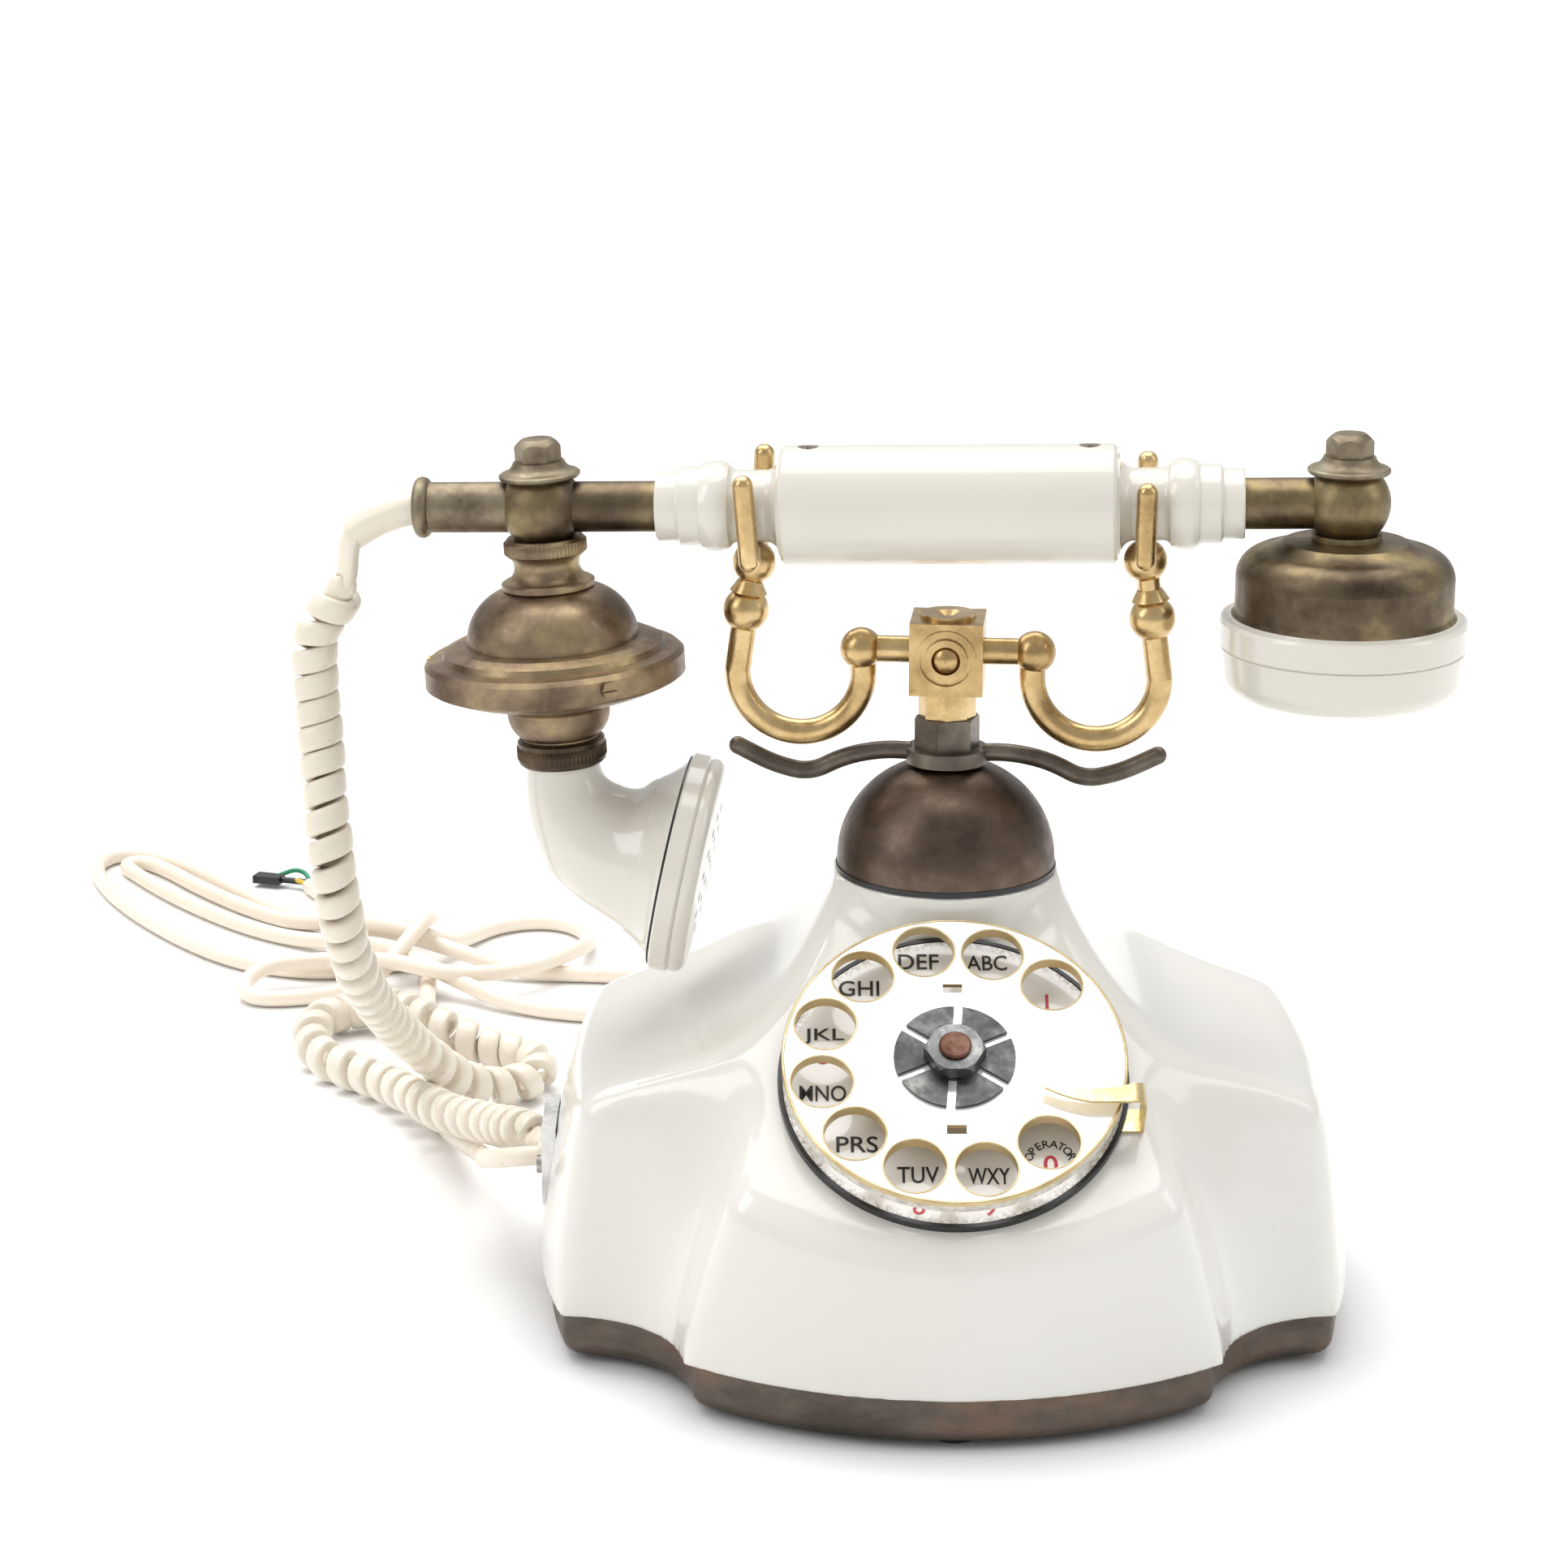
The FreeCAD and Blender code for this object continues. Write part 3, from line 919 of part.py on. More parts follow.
LINE_ROUTE = [
    (-89.3, -3, 35.5), (-101.5, -3, 35.5), (-108.5, 6, 29.8), (-109.5, 21, 23), (-110.5, 36, 17),
    (-112.5, 53, 11.5),
    (-119, 76, 6.5), (-127, 100, 2.6), (-132, 122, 2.5), (-134.5, 142, 2.5), (-137, 175, 2.5), (-141, 208, 2.5),
    (-142, 232, 2.5)]
HANK_OUTLINE = [
    (-152, 211), (-120, 202), (-96, 190), (-52, 189), (-43, 199), (-44, 224), (-58, 233), (-90, 237), (-91, 262),
    (-97, 279), (-110, 288), (-127, 285), (-138, 273), (-148, 264), (-158, 278), (-174, 302), (-181, 322),
    (-189, 321), (-189, 304), (-184, 294), (-191, 296), (-205, 315), (-221, 339), (-238, 357), (-254, 360),
    (-262, 343), (-259, 324), (-247, 296), (-229, 267), (-209, 243), (-198, 236), (-199, 214), (-191, 203),
    (-180, 207), (-168, 214)]
SLEEVE_ROUTE = [(-117.4, 0, 0), (-125.5, 0, -0.2), (-132.6, 0, -2.6), (-138.6, 0, -6.2)]
hank_ring = [Vector(x, y, 0) for x, y in HANK_OUTLINE]
hank = Part.Face(Part.makePolygon(hank_ring + hank_ring[:1])).extrude(Vector(0, 0, 10.5))
routes = {"curly_cord": (CURLY_ROUTE, size("curl_diameter") / 2),
          "line_cord": (LINE_ROUTE, size("line_diameter") / 2)}
for label, (points, radius) in routes.items():
    tube, length, radii = swept([Vector(*point) for point in points], radius)
    print("%s: length %.1f, arc radii %s" % (label, length, [round(r, 1) for r in radii]))
    shaped(label, tube.cut(hank) if label == "line_cord" else tube)
shaped("line_cord_hank", hank)
sleeve_points = [HANDSET.multVec(Vector(*point)) for point in SLEEVE_ROUTE]
sleeve, length, radii = swept(sleeve_points, size("sleeve_radius"))
print("cord_sleeve: length %.1f, arc radii %s" % (length, [round(r, 1) for r in radii]))
shaped("cord_sleeve", sleeve)
lug_way = Vector(-0.95, 0.3, 0)
lug = Part.makeCylinder(1.0, 12.0, Vector(-185.5, 322.0, 2.6), lug_way)
blade = Part.makeBox(9.0, 5.0, 2.4, Vector(0, -2.5, -1.2))
blade.Placement = Placement(Vector(-196.4, 325.4, 2.6), Rotation(X_AXIS, lug_way))
shaped("cord_end_lugs", lug.fuse(blade).cut(hank))

doc.recompute()
for item in doc.Objects:
    if "Invalid" in item.State or "Error" in item.State:
        raise RuntimeError("%s failed: %s" % (item.Label, item.State))
os.makedirs("parts", exist_ok=True)
for label, item in NODES.items():
    shape = item.Shape
    if shape.isNull() or not shape.isValid() or not shape.Solids:
        raise RuntimeError("%s has no valid solid" % label)
    print(label, len(shape.Solids), round(shape.Volume))
    shape.exportStep("parts/%s.step" % label)
print(len(NODES), "sub-parts")
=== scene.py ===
"""Looks of the cradle telephone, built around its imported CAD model."""
import math

import bmesh
import bpy
from mathutils import Euler, Matrix, Vector


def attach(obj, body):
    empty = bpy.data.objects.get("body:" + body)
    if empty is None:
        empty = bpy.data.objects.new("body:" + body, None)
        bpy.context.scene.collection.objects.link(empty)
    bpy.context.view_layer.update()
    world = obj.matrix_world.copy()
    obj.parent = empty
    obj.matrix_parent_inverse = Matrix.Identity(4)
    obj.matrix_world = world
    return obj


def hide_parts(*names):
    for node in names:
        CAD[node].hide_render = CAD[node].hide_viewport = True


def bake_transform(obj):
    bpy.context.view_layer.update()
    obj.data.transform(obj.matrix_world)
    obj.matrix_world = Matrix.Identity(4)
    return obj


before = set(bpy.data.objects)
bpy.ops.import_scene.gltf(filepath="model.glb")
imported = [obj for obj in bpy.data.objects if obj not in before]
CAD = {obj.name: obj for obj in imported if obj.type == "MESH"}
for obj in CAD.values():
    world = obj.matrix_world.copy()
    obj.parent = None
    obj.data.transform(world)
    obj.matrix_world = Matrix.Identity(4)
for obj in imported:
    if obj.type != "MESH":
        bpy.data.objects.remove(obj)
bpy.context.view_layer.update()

MM = 0.001


# ------------------------------------------------------------------ camera
EYE_PLACE, EYE_PITCH, EYE_LENS = (-0.03775, -0.92694, 0.38889), 15.82, 95.19


def make_camera():
    """Looks along +Y from a little to the left, pitched down."""
    data = bpy.data.cameras.new("camera")
    data.sensor_width, data.lens = 36.0, EYE_LENS
    data.clip_start, data.clip_end = 0.05, 40.0
    eye = bpy.data.objects.new("camera", data)
    eye.location = EYE_PLACE
    eye.rotation_euler = (math.radians(90 - EYE_PITCH), 0, 0)
    bpy.context.scene.collection.objects.link(eye)
    bpy.context.scene.camera = eye


make_camera()


# ------------------------------------------------------------------ mesh helpers
def add_object(name, data, body=None):
    """Puts the data in the scene; body is what it rides on."""
    thing = bpy.data.objects.new(name, data)
    bpy.context.scene.collection.objects.link(thing)
    if body:
        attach(thing, body)
    return thing


def mesh_of(name, points, faces):
    """A smooth-shaded mesh."""
    data = bpy.data.meshes.new(name)
    data.from_pydata([tuple(p) for p in points], [], faces)
    data.validate()
    data.polygons.foreach_set("use_smooth", [True] * len(data.polygons))
    data.update()
    return data


def smooth_curve(name, points, depth=0.0):
    """A NURBS spline with the points, in millimetres, as its control points. The tube's size is in the points,
    so that the box Blender keeps round the curve is no larger than the tube."""
    data = bpy.data.curves.new(name, "CURVE")
    data.dimensions = "3D"
    spline = data.splines.new("NURBS")
    spline.points.add(len(points) - 1)
    for knot, point in zip(spline.points, points):
        knot.co = (point[0] * MM, point[1] * MM, point[2] * MM, 1.0)
        knot.radius = depth
    spline.order_u = 3
    spline.use_endpoint_u = True
    spline.resolution_u = 12
    data.bevel_depth = 1.0 if depth else 0.0
    data.bevel_resolution = 5
    data.use_fill_caps = depth > 0
    return data


def points_on(curve_data):
    """The points that a bare curve passes through."""
    bare = bpy.data.objects.new("bare", curve_data)
    mesh = bpy.data.meshes.new_from_object(bare)
    line = [v.co.copy() for v in mesh.vertices]
    bpy.data.objects.remove(bare)
    bpy.data.meshes.remove(mesh)
    return line


def line_length(line):
    return sum((b - a).length for a, b in zip(line, line[1:]))


class Track:
    """A line walked by arc length, with a frame that never twists."""

    def __init__(self, line):
        self.line = line
        self.at = [0.0]
        for a, b in zip(line, line[1:]):
            self.at.append(self.at[-1] + (b - a).length)
        self.length = self.at[-1]
        self.sides = []
        side = None
        for i in range(len(line)):
            way = self._way(i)
            if side is None:
                side = way.orthogonal().normalized()
            side = (side - way * side.dot(way)).normalized()
            self.sides.append(side)

    def _way(self, i):
        a, b = self.line[max(i - 1, 0)], self.line[min(i + 1, len(self.line) - 1)]
        return (b - a).normalized()

    def where(self, s):
        """Place, direction and two sideways directions at arc length s."""
        s = min(max(s, 0.0), self.length)
        low, high = 0, len(self.at) - 1
        while high - low > 1:
            mid = (low + high) // 2
            low, high = (mid, high) if self.at[mid] <= s else (low, mid)
        t = (s - self.at[low]) / max(self.at[high] - self.at[low], 1e-9)
        place = self.line[low].lerp(self.line[high], t)
        way = self._way(low).lerp(self._way(high), t).normalized()
        side = self.sides[low].lerp(self.sides[high], t)
        side = (side - way * side.dot(way)).normalized()
        return place, way, side, way.cross(side)


# ------------------------------------------------------------------ cords
CURLY_ROUTE = [
    (-139.6, 12, 171), (-142.6, 12, 165.5), (-147, 12, 160), (-147.3, 12, 150), (-146.2, 10, 134),
    (-144.9, 6, 117), (-143.4, 4, 101.7), (-142, 12, 84), (-140.6, 30, 68), (-139.6, 54, 54), (-138.2, 78, 40.5),
    (-134.4, 98, 27.5), (-127.5, 112, 15.5), (-120.5, 119.5, 8.6), (-114, 124.5, 6), (-107, 130, 6),
    (-103.5, 140, 6), (-108, 149.5, 6), (-119, 153, 7), (-130, 157, 10.5), (-139, 168, 11.4),
    (-147.8, 185.2, 8.5), (-157, 189, 6.3), (-166.2, 185.2, 6), (-170, 176, 6), (-169.5, 163, 6),
    (-166, 151.5, 6), (-159.5, 142, 6), (-151, 134, 6), (-143.5, 125, 6.5), (-137.5, 112.5, 8.6), (-131, 98, 11),
    (-125, 83, 14), (-118, 67, 18.5), (-109, 45, 25), (-102.5, 26, 31), (-99.5, 16, 34)]
TOP_LEAD = [(-136.6, 11.9, 184.3), (-138.6, 12, 181), (-138.8, 12, 175.5)]
GLAND_LEAD = [(-97.6, 9, 35.3), (-94.5, 5.4, 35.5), (-90.5, 5, 35.5)]
COIL_RADIUS, BAND_WIDE, BAND_THICK = 3.85, 5.8, 3.2     # millimetres
PITCH, STRETCH = 6.3, 0.85      # millimetres a turn; the coil is drawn out where it runs to the back of the phone
RAMP = 0.005                    # metres over which the coil opens out of its straight lead
TOP_STRAIGHT, GLAND_STRAIGHT = 0.013, 0.010     # metres of straight lead at each end
STEPS_PER_TURN = 20
BAND_CORNERS, BAND_SQUARENESS = 12, 0.55


def curly_path():
    """Points of the helix, and the outward direction of its band at each."""
    track = Track(points_on(smooth_curve("curly_axis", TOP_LEAD + CURLY_ROUTE + GLAND_LEAD)))
    start, end = TOP_STRAIGHT, track.length - GLAND_STRAIGHT
    path, outward = [], []

    def straight(s):
        place, way, side, across = track.where(s)
        path.append(place)
        outward.append(side)

    for i in range(6):
        straight(start * i / 6)
    s, turn = start, 0.0
    while s < end:
        place, way, side, across = track.where(s)
        grown = min(1.0, (s - start) / RAMP, (end - s) / RAMP)
        grown = grown * grown * (3 - 2 * grown)
        out = side * math.cos(turn) + across * math.sin(turn)
        wobble = 1.0 + 0.03 * math.sin(turn * 0.31) + 0.02 * math.sin(turn * 0.173 + 1.0)
        path.append(place + out * (COIL_RADIUS * MM * grown * wobble))
        outward.append((side.lerp(out, grown)).normalized())
        pitch = PITCH * (1 + STRETCH * way.y * way.y) * (1 + 0.05 * math.sin(turn * 0.117))
        turn += 2 * math.pi / STEPS_PER_TURN
        s += pitch * MM / STEPS_PER_TURN * (0.25 + 0.75 * grown)
    for i in range(1, 6):
        straight(end + (track.length - end) * i / 5)
    return path, outward


def band_tube(name, path, outward):
    """A tube of rounded-rectangle section along the path; its thin way faces outward."""
    corners, shape = BAND_CORNERS, []
    for k in range(corners):
        a = 2 * math.pi * (k + 0.5) / corners
        thin, broad = (math.copysign(abs(part) ** BAND_SQUARENESS, part) for part in (math.cos(a), math.sin(a)))
        shape.append((thin * BAND_THICK / 2, broad * BAND_WIDE / 2))
    points, faces = [], []
    for i, place in enumerate(path):
        a, b = path[max(i - 1, 0)], path[min(i + 1, len(path) - 1)]
        way = (b - a).normalized()
        out = (outward[i] - way * outward[i].dot(way)).normalized()
        along = way.cross(out)
        points += [place + out * (x * MM) + along * (y * MM) for x, y in shape]
    for i in range(len(path) - 1):
        for k in range(corners):
            j = (k + 1) % corners
            faces.append((i * corners + k, i * corners + j, (i + 1) * corners + j, (i + 1) * corners + k))
    faces.append(tuple(reversed(range(corners))))
    faces.append(tuple(range(len(points) - corners, len(points))))
    return mesh_of(name, points, faces)


curly_line, curly_out = curly_path()
curly = add_object("curly_coil", band_tube("curly_coil", curly_line, curly_out))
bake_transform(curly)
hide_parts("curly_cord")

LINE_ROUTE = [
    (-89.3, -3, 35.5), (-95, -3, 35.5), (-101, -2.5, 34.8), (-106.5, 3, 32.3), (-110, 14, 28.2), (-111.5, 30, 21.8),
    (-112.5, 50, 14.6), (-118, 73, 8.2), (-126.5, 98, 3.4), (-132, 122, 2.5), (-134.5, 142, 2.5), (-137, 175, 2.5),
    (-141, 208, 2.5), (-142, 232, 2.5)]
HANK_ROUTE = [
    # out to the left in the widest loop and back to the hitch
    (-145, 243, 2.6), (-156, 240, 2.6), (-170, 233, 2.6), (-188, 236, 2.6), (-205, 247, 2.6), (-224, 270, 2.6),
    (-242.5, 299, 2.6), (-254, 325, 2.6), (-258, 343, 2.6), (-252, 354, 2.6), (-240, 351, 2.6), (-224.6, 336, 2.6),
    (-208, 312, 2.6), (-191, 289, 2.6), (-176, 275, 3.5), (-160, 262, 6.8), (-146, 250, 7.4),
    # behind the base and back
    (-131, 239, 6), (-115, 232, 2.8), (-98, 231.5, 2.6), (-75, 229, 2.6), (-54, 224, 2.6), (-48, 211, 2.6),
    (-56, 199, 2.6), (-76, 195, 2.6), (-97, 195, 2.6), (-116, 203, 2.6), (-130, 213, 5.5), (-144, 228, 7.4),
    (-157, 244, 7.4), (-170, 256, 4.5),
    # the narrower loop
    (-185, 264, 2.6), (-200, 275, 2.6), (-214, 290, 2.6), (-229, 309, 2.6), (-242, 329, 2.6), (-249, 341, 2.6),
    (-243, 345.5, 2.6), (-234, 336, 2.6), (-222, 318, 2.6), (-206, 298, 2.6), (-189, 281, 2.6), (-174, 267, 7.4),
    (-158, 254, 11), (-146, 246, 10.5), (-137, 251, 5.5),
    # the small loop on the right
    (-133, 266, 2.6), (-124, 279, 2.6), (-110, 283, 2.6), (-99, 275, 2.6), (-95.5, 258, 3.5), (-99, 240, 7.4),
    (-108, 226, 7.4), (-122, 217.5, 7.4), (-136, 215, 8), (-150, 222, 9.5), (-163, 231, 7.4),
    # the small loop on the left, then over the bundle to the free end
    (-178, 229, 7.4), (-190, 226, 7), (-196, 217, 3.5), (-191, 209, 2.6), (-180, 209, 2.6), (-167, 214, 2.6),
    (-157, 222, 4), (-149, 234, 11.5), (-144, 246, 15), (-143, 259, 11.5), (-150, 268, 5), (-158, 277, 2.6),
    (-167, 289, 2.6), (-176, 301, 2.6), (-184, 312, 2.6), (-187, 319, 2.6)]
LINE_RADIUS, WIRE_RADIUS = 2.4, 0.75    # millimetres
line_data = smooth_curve("line_lead", LINE_ROUTE + HANK_ROUTE, depth=LINE_RADIUS * MM)
line_lead = add_object("line_lead", line_data, "base")
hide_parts("line_cord", "line_cord_hank")


def wire(name, points):
    return add_object(name, smooth_curve(name, points, WIRE_RADIUS * MM), "base")


yellow_wire = wire("yellow_wire", [(-186.4, 317.5, 2.8), (-190, 323, 3), (-195.5, 326, 2.6), (-200, 327.2, 2.2)])
green_wire = wire("green_wire", [(-186.6, 318, 2.2), (-187.6, 325, 4.0), (-192, 329.5, 5), (-197, 328.5, 3.4),
                                 (-200.5, 327, 2.4)])
bare_line = line_data.copy()
bare_line.bevel_depth = 0.0
line_length(points_on(bare_line))

# ------------------------------------------------------------------ materials
DIAL_PLACE = Vector((0, -61 * MM, 80.5 * MM))
DIAL_TURN = Euler((math.radians(35.3), 0, 0)).to_matrix()
DIAL = Matrix.Translation(DIAL_PLACE) @ DIAL_TURN.to_4x4()


class Nodes:
    """A material's node tree with short ways to add what the finishes need."""

    def __init__(self, name):
        self.material = bpy.data.materials.new(name)
        self.material.use_nodes = True
        self.tree = self.material.node_tree
        self.tree.nodes.clear()
        self.out = self.add("ShaderNodeOutputMaterial")
        self.shader = self.add("ShaderNodeBsdfPrincipled")
        self.join(self.shader.outputs[0], self.out.inputs[0])
        self.place = self.add("ShaderNodeTexCoord").outputs["Object"]

    def add(self, kind, **settings):
        made = self.tree.nodes.new(kind)
        for key, value in settings.items():
            setattr(made, key, value)
        return made

    def join(self, source, target):
        self.tree.links.new(source, target)

    def feed(self, socket, value):
        """Joins a node's output to the socket, or sets a number or a colour on it."""
        if hasattr(value, "is_output"):
            self.join(value, socket)
        else:
            socket.default_value = (*value, 1.0) if isinstance(value, tuple) else value

    def set(self, **values):
        """Feeds the shader's sockets by name, with _ for a space."""
        for key, value in values.items():
            self.feed(self.shader.inputs[key.replace("_", " ")], value)

    def noise(self, scale, detail=3.0, rough=0.55, stretch=None):
        source = self.place
        if stretch:
            spread = self.add("ShaderNodeMapping")
            spread.inputs["Scale"].default_value = stretch
            self.join(source, spread.inputs["Vector"])
            source = spread.outputs[0]
        made = self.add("ShaderNodeTexNoise")
        made.inputs["Scale"].default_value = scale
        made.inputs["Detail"].default_value = detail
        made.inputs["Roughness"].default_value = rough
        self.join(source, made.inputs["Vector"])
        return made.outputs["Fac"]

    def ramp(self, source, *stops):
        """Stops are (position, colour or grey level)."""
        made = self.add("ShaderNodeValToRGB")
        steps = made.color_ramp.elements
        while len(steps) < len(stops):
            steps.new(0.5)
        for step, (at, value) in zip(steps, stops):
            step.position = at
            step.color = (*value, 1.0) if isinstance(value, tuple) else (value, value, value, 1.0)
        self.join(source, made.inputs[0])
        return made.outputs[0]

    def mix(self, share, first, second):
        made = self.add("ShaderNodeMix", data_type="RGBA")
        for socket, value in ((made.inputs[0], share), (made.inputs[6], first), (made.inputs[7], second)):
            self.feed(socket, value)
        return made.outputs[2]

    def math(self, kind, first, second=0.0):
        made = self.add("ShaderNodeMath", operation=kind)
        for socket, value in zip(made.inputs, (first, second)):
            self.feed(socket, value)
        return made.outputs[0]

    def distance(self, x, y):
        """How far (x, y) is from nought."""
        return self.math("SQRT", self.math("ADD", self.math("MULTIPLY", x, x), self.math("MULTIPLY", y, y)))

    def dot(self, source, way):
        made = self.add("ShaderNodeVectorMath", operation="DOT_PRODUCT")
        self.join(source, made.inputs[0])
        made.inputs[1].default_value = way
        return made.outputs["Value"]

    def bump(self, source, distance, strength=1.0):
        made = self.add("ShaderNodeBump")
        made.inputs["Distance"].default_value = distance
        made.inputs["Strength"].default_value = strength
        self.join(source, made.inputs["Height"])
        self.join(made.outputs[0], self.shader.inputs["Normal"])


def white_gloss(name, colour, shade, speck=0.5):
    """Glossy cream-white enamel: faint clouding, hairline dirt and a few dark specks."""
    n = Nodes(name)
    cloud = n.ramp(n.noise(9.0, 2.0), (0.35, shade), (0.65, colour))
    specks = n.ramp(n.noise(520.0, 2.0, 0.7), (0.0, 1.0), (0.215, 1.0), (0.235, 0.0))
    patches = n.ramp(n.noise(38.0), (0.52, 0.0), (0.66, speck))
    dirt = n.math("MULTIPLY", specks, patches)
    n.set(Base_Color=n.mix(dirt, cloud, (0.30, 0.24, 0.17)), Coat_Weight=0.5, Coat_Roughness=0.06,
          Roughness=n.ramp(n.noise(60.0), (0.3, 0.12), (0.7, 0.26)))
    n.bump(n.noise(110.0, 2.0), 0.00006, 0.5)
    return n.material


def metal(name, colours, rough, grain=34.0, bump=0.00008, pits=0.0, metallic=1.0, stretch=None):
    """Metal with patches of three tones, uneven polish and a lightly pitted skin."""
    n = Nodes(name)
    wide, fine = n.noise(grain, 5.0, 0.62, stretch), n.noise(grain * 7.0, 4.0, 0.7)
    tone = n.ramp(wide, (0.37, colours[0]), (0.50, colours[1]), (0.66, colours[2]))
    worn = n.ramp(fine, (0.52, 0.0), (0.74, 0.55))
    n.set(Base_Color=n.mix(worn, tone, colours[1]), Metallic=metallic,
          Roughness=n.ramp(fine, (0.30, rough), (0.72, rough + 0.22)))
    height = n.math("ADD", fine, n.math("MULTIPLY", n.noise(grain * 22.0, 2.0), pits))
    n.bump(height, bump, 0.7)
    return n.material


def plastic(name, colour, shade, rough, bump=0.00005):
    """Plain plastic or paint, a little uneven in tone and sheen."""
    n = Nodes(name)
    n.set(Base_Color=n.ramp(n.noise(80.0, 4.0), (0.35, shade), (0.65, colour)),
          Roughness=n.ramp(n.noise(160.0), (0.3, rough - 0.06), (0.7, rough + 0.08)))
    n.bump(n.noise(400.0, 2.0), bump, 0.6)
    return n.material


def cord_skin(name, colour, shade, rough):
    """Ageing cord plastic: yellowed, with grey handling marks along it."""
    n = Nodes(name)
    tone = n.ramp(n.noise(14.0, 3.0), (0.35, shade), (0.62, colour))
    marks = n.ramp(n.noise(260.0, 5.0, 0.75), (0.60, 0.0), (0.80, 0.6))
    n.set(Base_Color=n.mix(marks, tone, (0.36, 0.31, 0.25)),
          Roughness=n.ramp(n.noise(90.0), (0.3, rough - 0.06), (0.7, rough + 0.1)),
          Coat_Weight=0.25)
    n.bump(n.noise(340.0, 3.0), 0.00006, 0.6)
    return n.material


def dial_axes(n):
    """Where the shaded point lies along the dial's own three axes, in metres, as node outputs."""
    moved = n.add("ShaderNodeVectorMath", operation="SUBTRACT")
    n.join(n.place, moved.inputs[0])
    moved.inputs[1].default_value = DIAL_PLACE
    return [n.dot(moved.outputs[0], tuple(axis)) for axis in DIAL_TURN.col]


def wheel_finish():
    """Lacquered face and skirt, with bare brass where the metal turns over: rim, hole lips and slots."""
    n = Nodes("wheel_finish")
    x, y, z = dial_axes(n)
    low = n.ramp(n.math("MULTIPLY", z, -400.0), (0.46, 0.0), (0.56, 1.0))
    outer = n.ramp(n.math("MULTIPLY", n.distance(x, y), 20.0), (0.745, 0.0), (0.755, 1.0))
    skirt = n.math("MULTIPLY", low, outer)
    scuffed = n.ramp(n.noise(420.0, 4.0, 0.75), (0.42, (0.70, 0.68, 0.63)), (0.66, (0.40, 0.36, 0.29)))
    facing = n.dot(n.add("ShaderNodeNewGeometry").outputs["Normal"], tuple(DIAL_TURN.col[2]))
    flat = n.ramp(facing, (0.90, 0.0), (0.96, 1.0))
    # a painted yellow reflection in one patch to the right of the hub, mixed into the face's colour
    spread = n.distance(n.math("SUBTRACT", x, 0.023), n.math("SUBTRACT", y, -0.001))
    painted_reflection_patch = n.math("MULTIPLY", n.ramp(n.math("MULTIPLY", spread, 50.0), (0.15, 0.75), (0.75, 0.0)),
                   n.ramp(n.noise(130.0, 3.0), (0.42, 0.0), (0.60, 1.0)))
    face_with_painted_reflection = n.mix(painted_reflection_patch, n.ramp(n.noise(16.0, 2.0), (0.45, (0.93, 0.925, 0.90)), (0.75, (0.95, 0.93, 0.84))),
                 (0.93, 0.80, 0.42))
    brass = n.ramp(n.noise(60.0), (0.35, (0.74, 0.56, 0.27)), (0.65, (0.88, 0.72, 0.42)))
    bare = n.math("MULTIPLY", n.ramp(flat, (0.0, 1.0), (1.0, 0.25)), n.ramp(skirt, (0.0, 1.0), (1.0, 0.0)))
    n.set(Base_Color=n.mix(skirt, n.mix(flat, brass, face_with_painted_reflection), scuffed), Metallic=bare,
          Roughness=n.ramp(flat, (0.0, 0.38), (1.0, 0.12)), Coat_Weight=0.4)
    n.bump(n.noise(30.0, 1.0), 0.00004, 0.4)
    return n.material


def plate_finish():
    """Glossy white number plate whose rim is worn to grey speckle."""
    n = Nodes("plate_finish")
    x, y, z = dial_axes(n)
    edge = n.ramp(n.math("MULTIPLY", n.distance(x, y), 20.0), (0.715, 0.0), (0.755, 1.0))
    speckle = n.ramp(n.noise(900.0, 4.0, 0.8), (0.44, 0.0), (0.62, 1.0))
    worn = n.math("MULTIPLY", edge, speckle)
    n.set(Base_Color=n.mix(worn, (0.88, 0.87, 0.85), (0.36, 0.32, 0.25)), Roughness=0.10, Coat_Weight=0.6)
    n.bump(worn, 0.00008, 0.5)
    return n.material


shell_white = white_gloss("shell_gloss", (0.775, 0.76, 0.71), (0.735, 0.715, 0.66))
handset_white = white_gloss("handset_gloss", (0.735, 0.71, 0.64), (0.69, 0.66, 0.585), speck=0.35)
aged_brass = metal("aged_brass", ((0.125, 0.083, 0.057), (0.245, 0.178, 0.117), (0.43, 0.33, 0.175)), 0.31, 40.0,
                   pits=0.25)
brown_brass = metal("brown_brass", ((0.075, 0.055, 0.037), (0.148, 0.111, 0.071), (0.32, 0.25, 0.12)), 0.32, 36.0,
                    pits=0.3)
green_brass = metal("green_brass", ((0.145, 0.112, 0.077), (0.255, 0.208, 0.143), (0.31, 0.30, 0.215)), 0.38, 60.0,
                    pits=0.3)
dark_brass = metal("dark_brass", ((0.055, 0.040, 0.028), (0.10, 0.073, 0.048), (0.18, 0.13, 0.08)), 0.28, 50.0,
                   pits=0.3)
edge_brass = metal("edge_brass", ((0.42, 0.32, 0.16), (0.60, 0.48, 0.27), (0.78, 0.66, 0.42)), 0.30, 60.0)
bright_brass = metal("bright_brass", ((0.36, 0.235, 0.105), (0.56, 0.395, 0.185), (0.72, 0.54, 0.29)), 0.17, 60.0,
                     bump=0.00002, pits=0.3)
dark_bronze = metal("dark_bronze", ((0.075, 0.053, 0.042), (0.125, 0.089, 0.068), (0.195, 0.148, 0.115)), 0.29, 34.0,
                    pits=0.5)
base_bronze = metal("base_bronze", ((0.088, 0.074, 0.062), (0.138, 0.115, 0.096), (0.20, 0.135, 0.10)), 0.38, 26.0,
                    stretch=(1, 1, 3))
black_steel = metal("black_steel", ((0.085, 0.070, 0.056), (0.140, 0.118, 0.094), (0.22, 0.188, 0.148)), 0.30, 60.0,
                    bump=0.0001, pits=0.6, metallic=0.8)
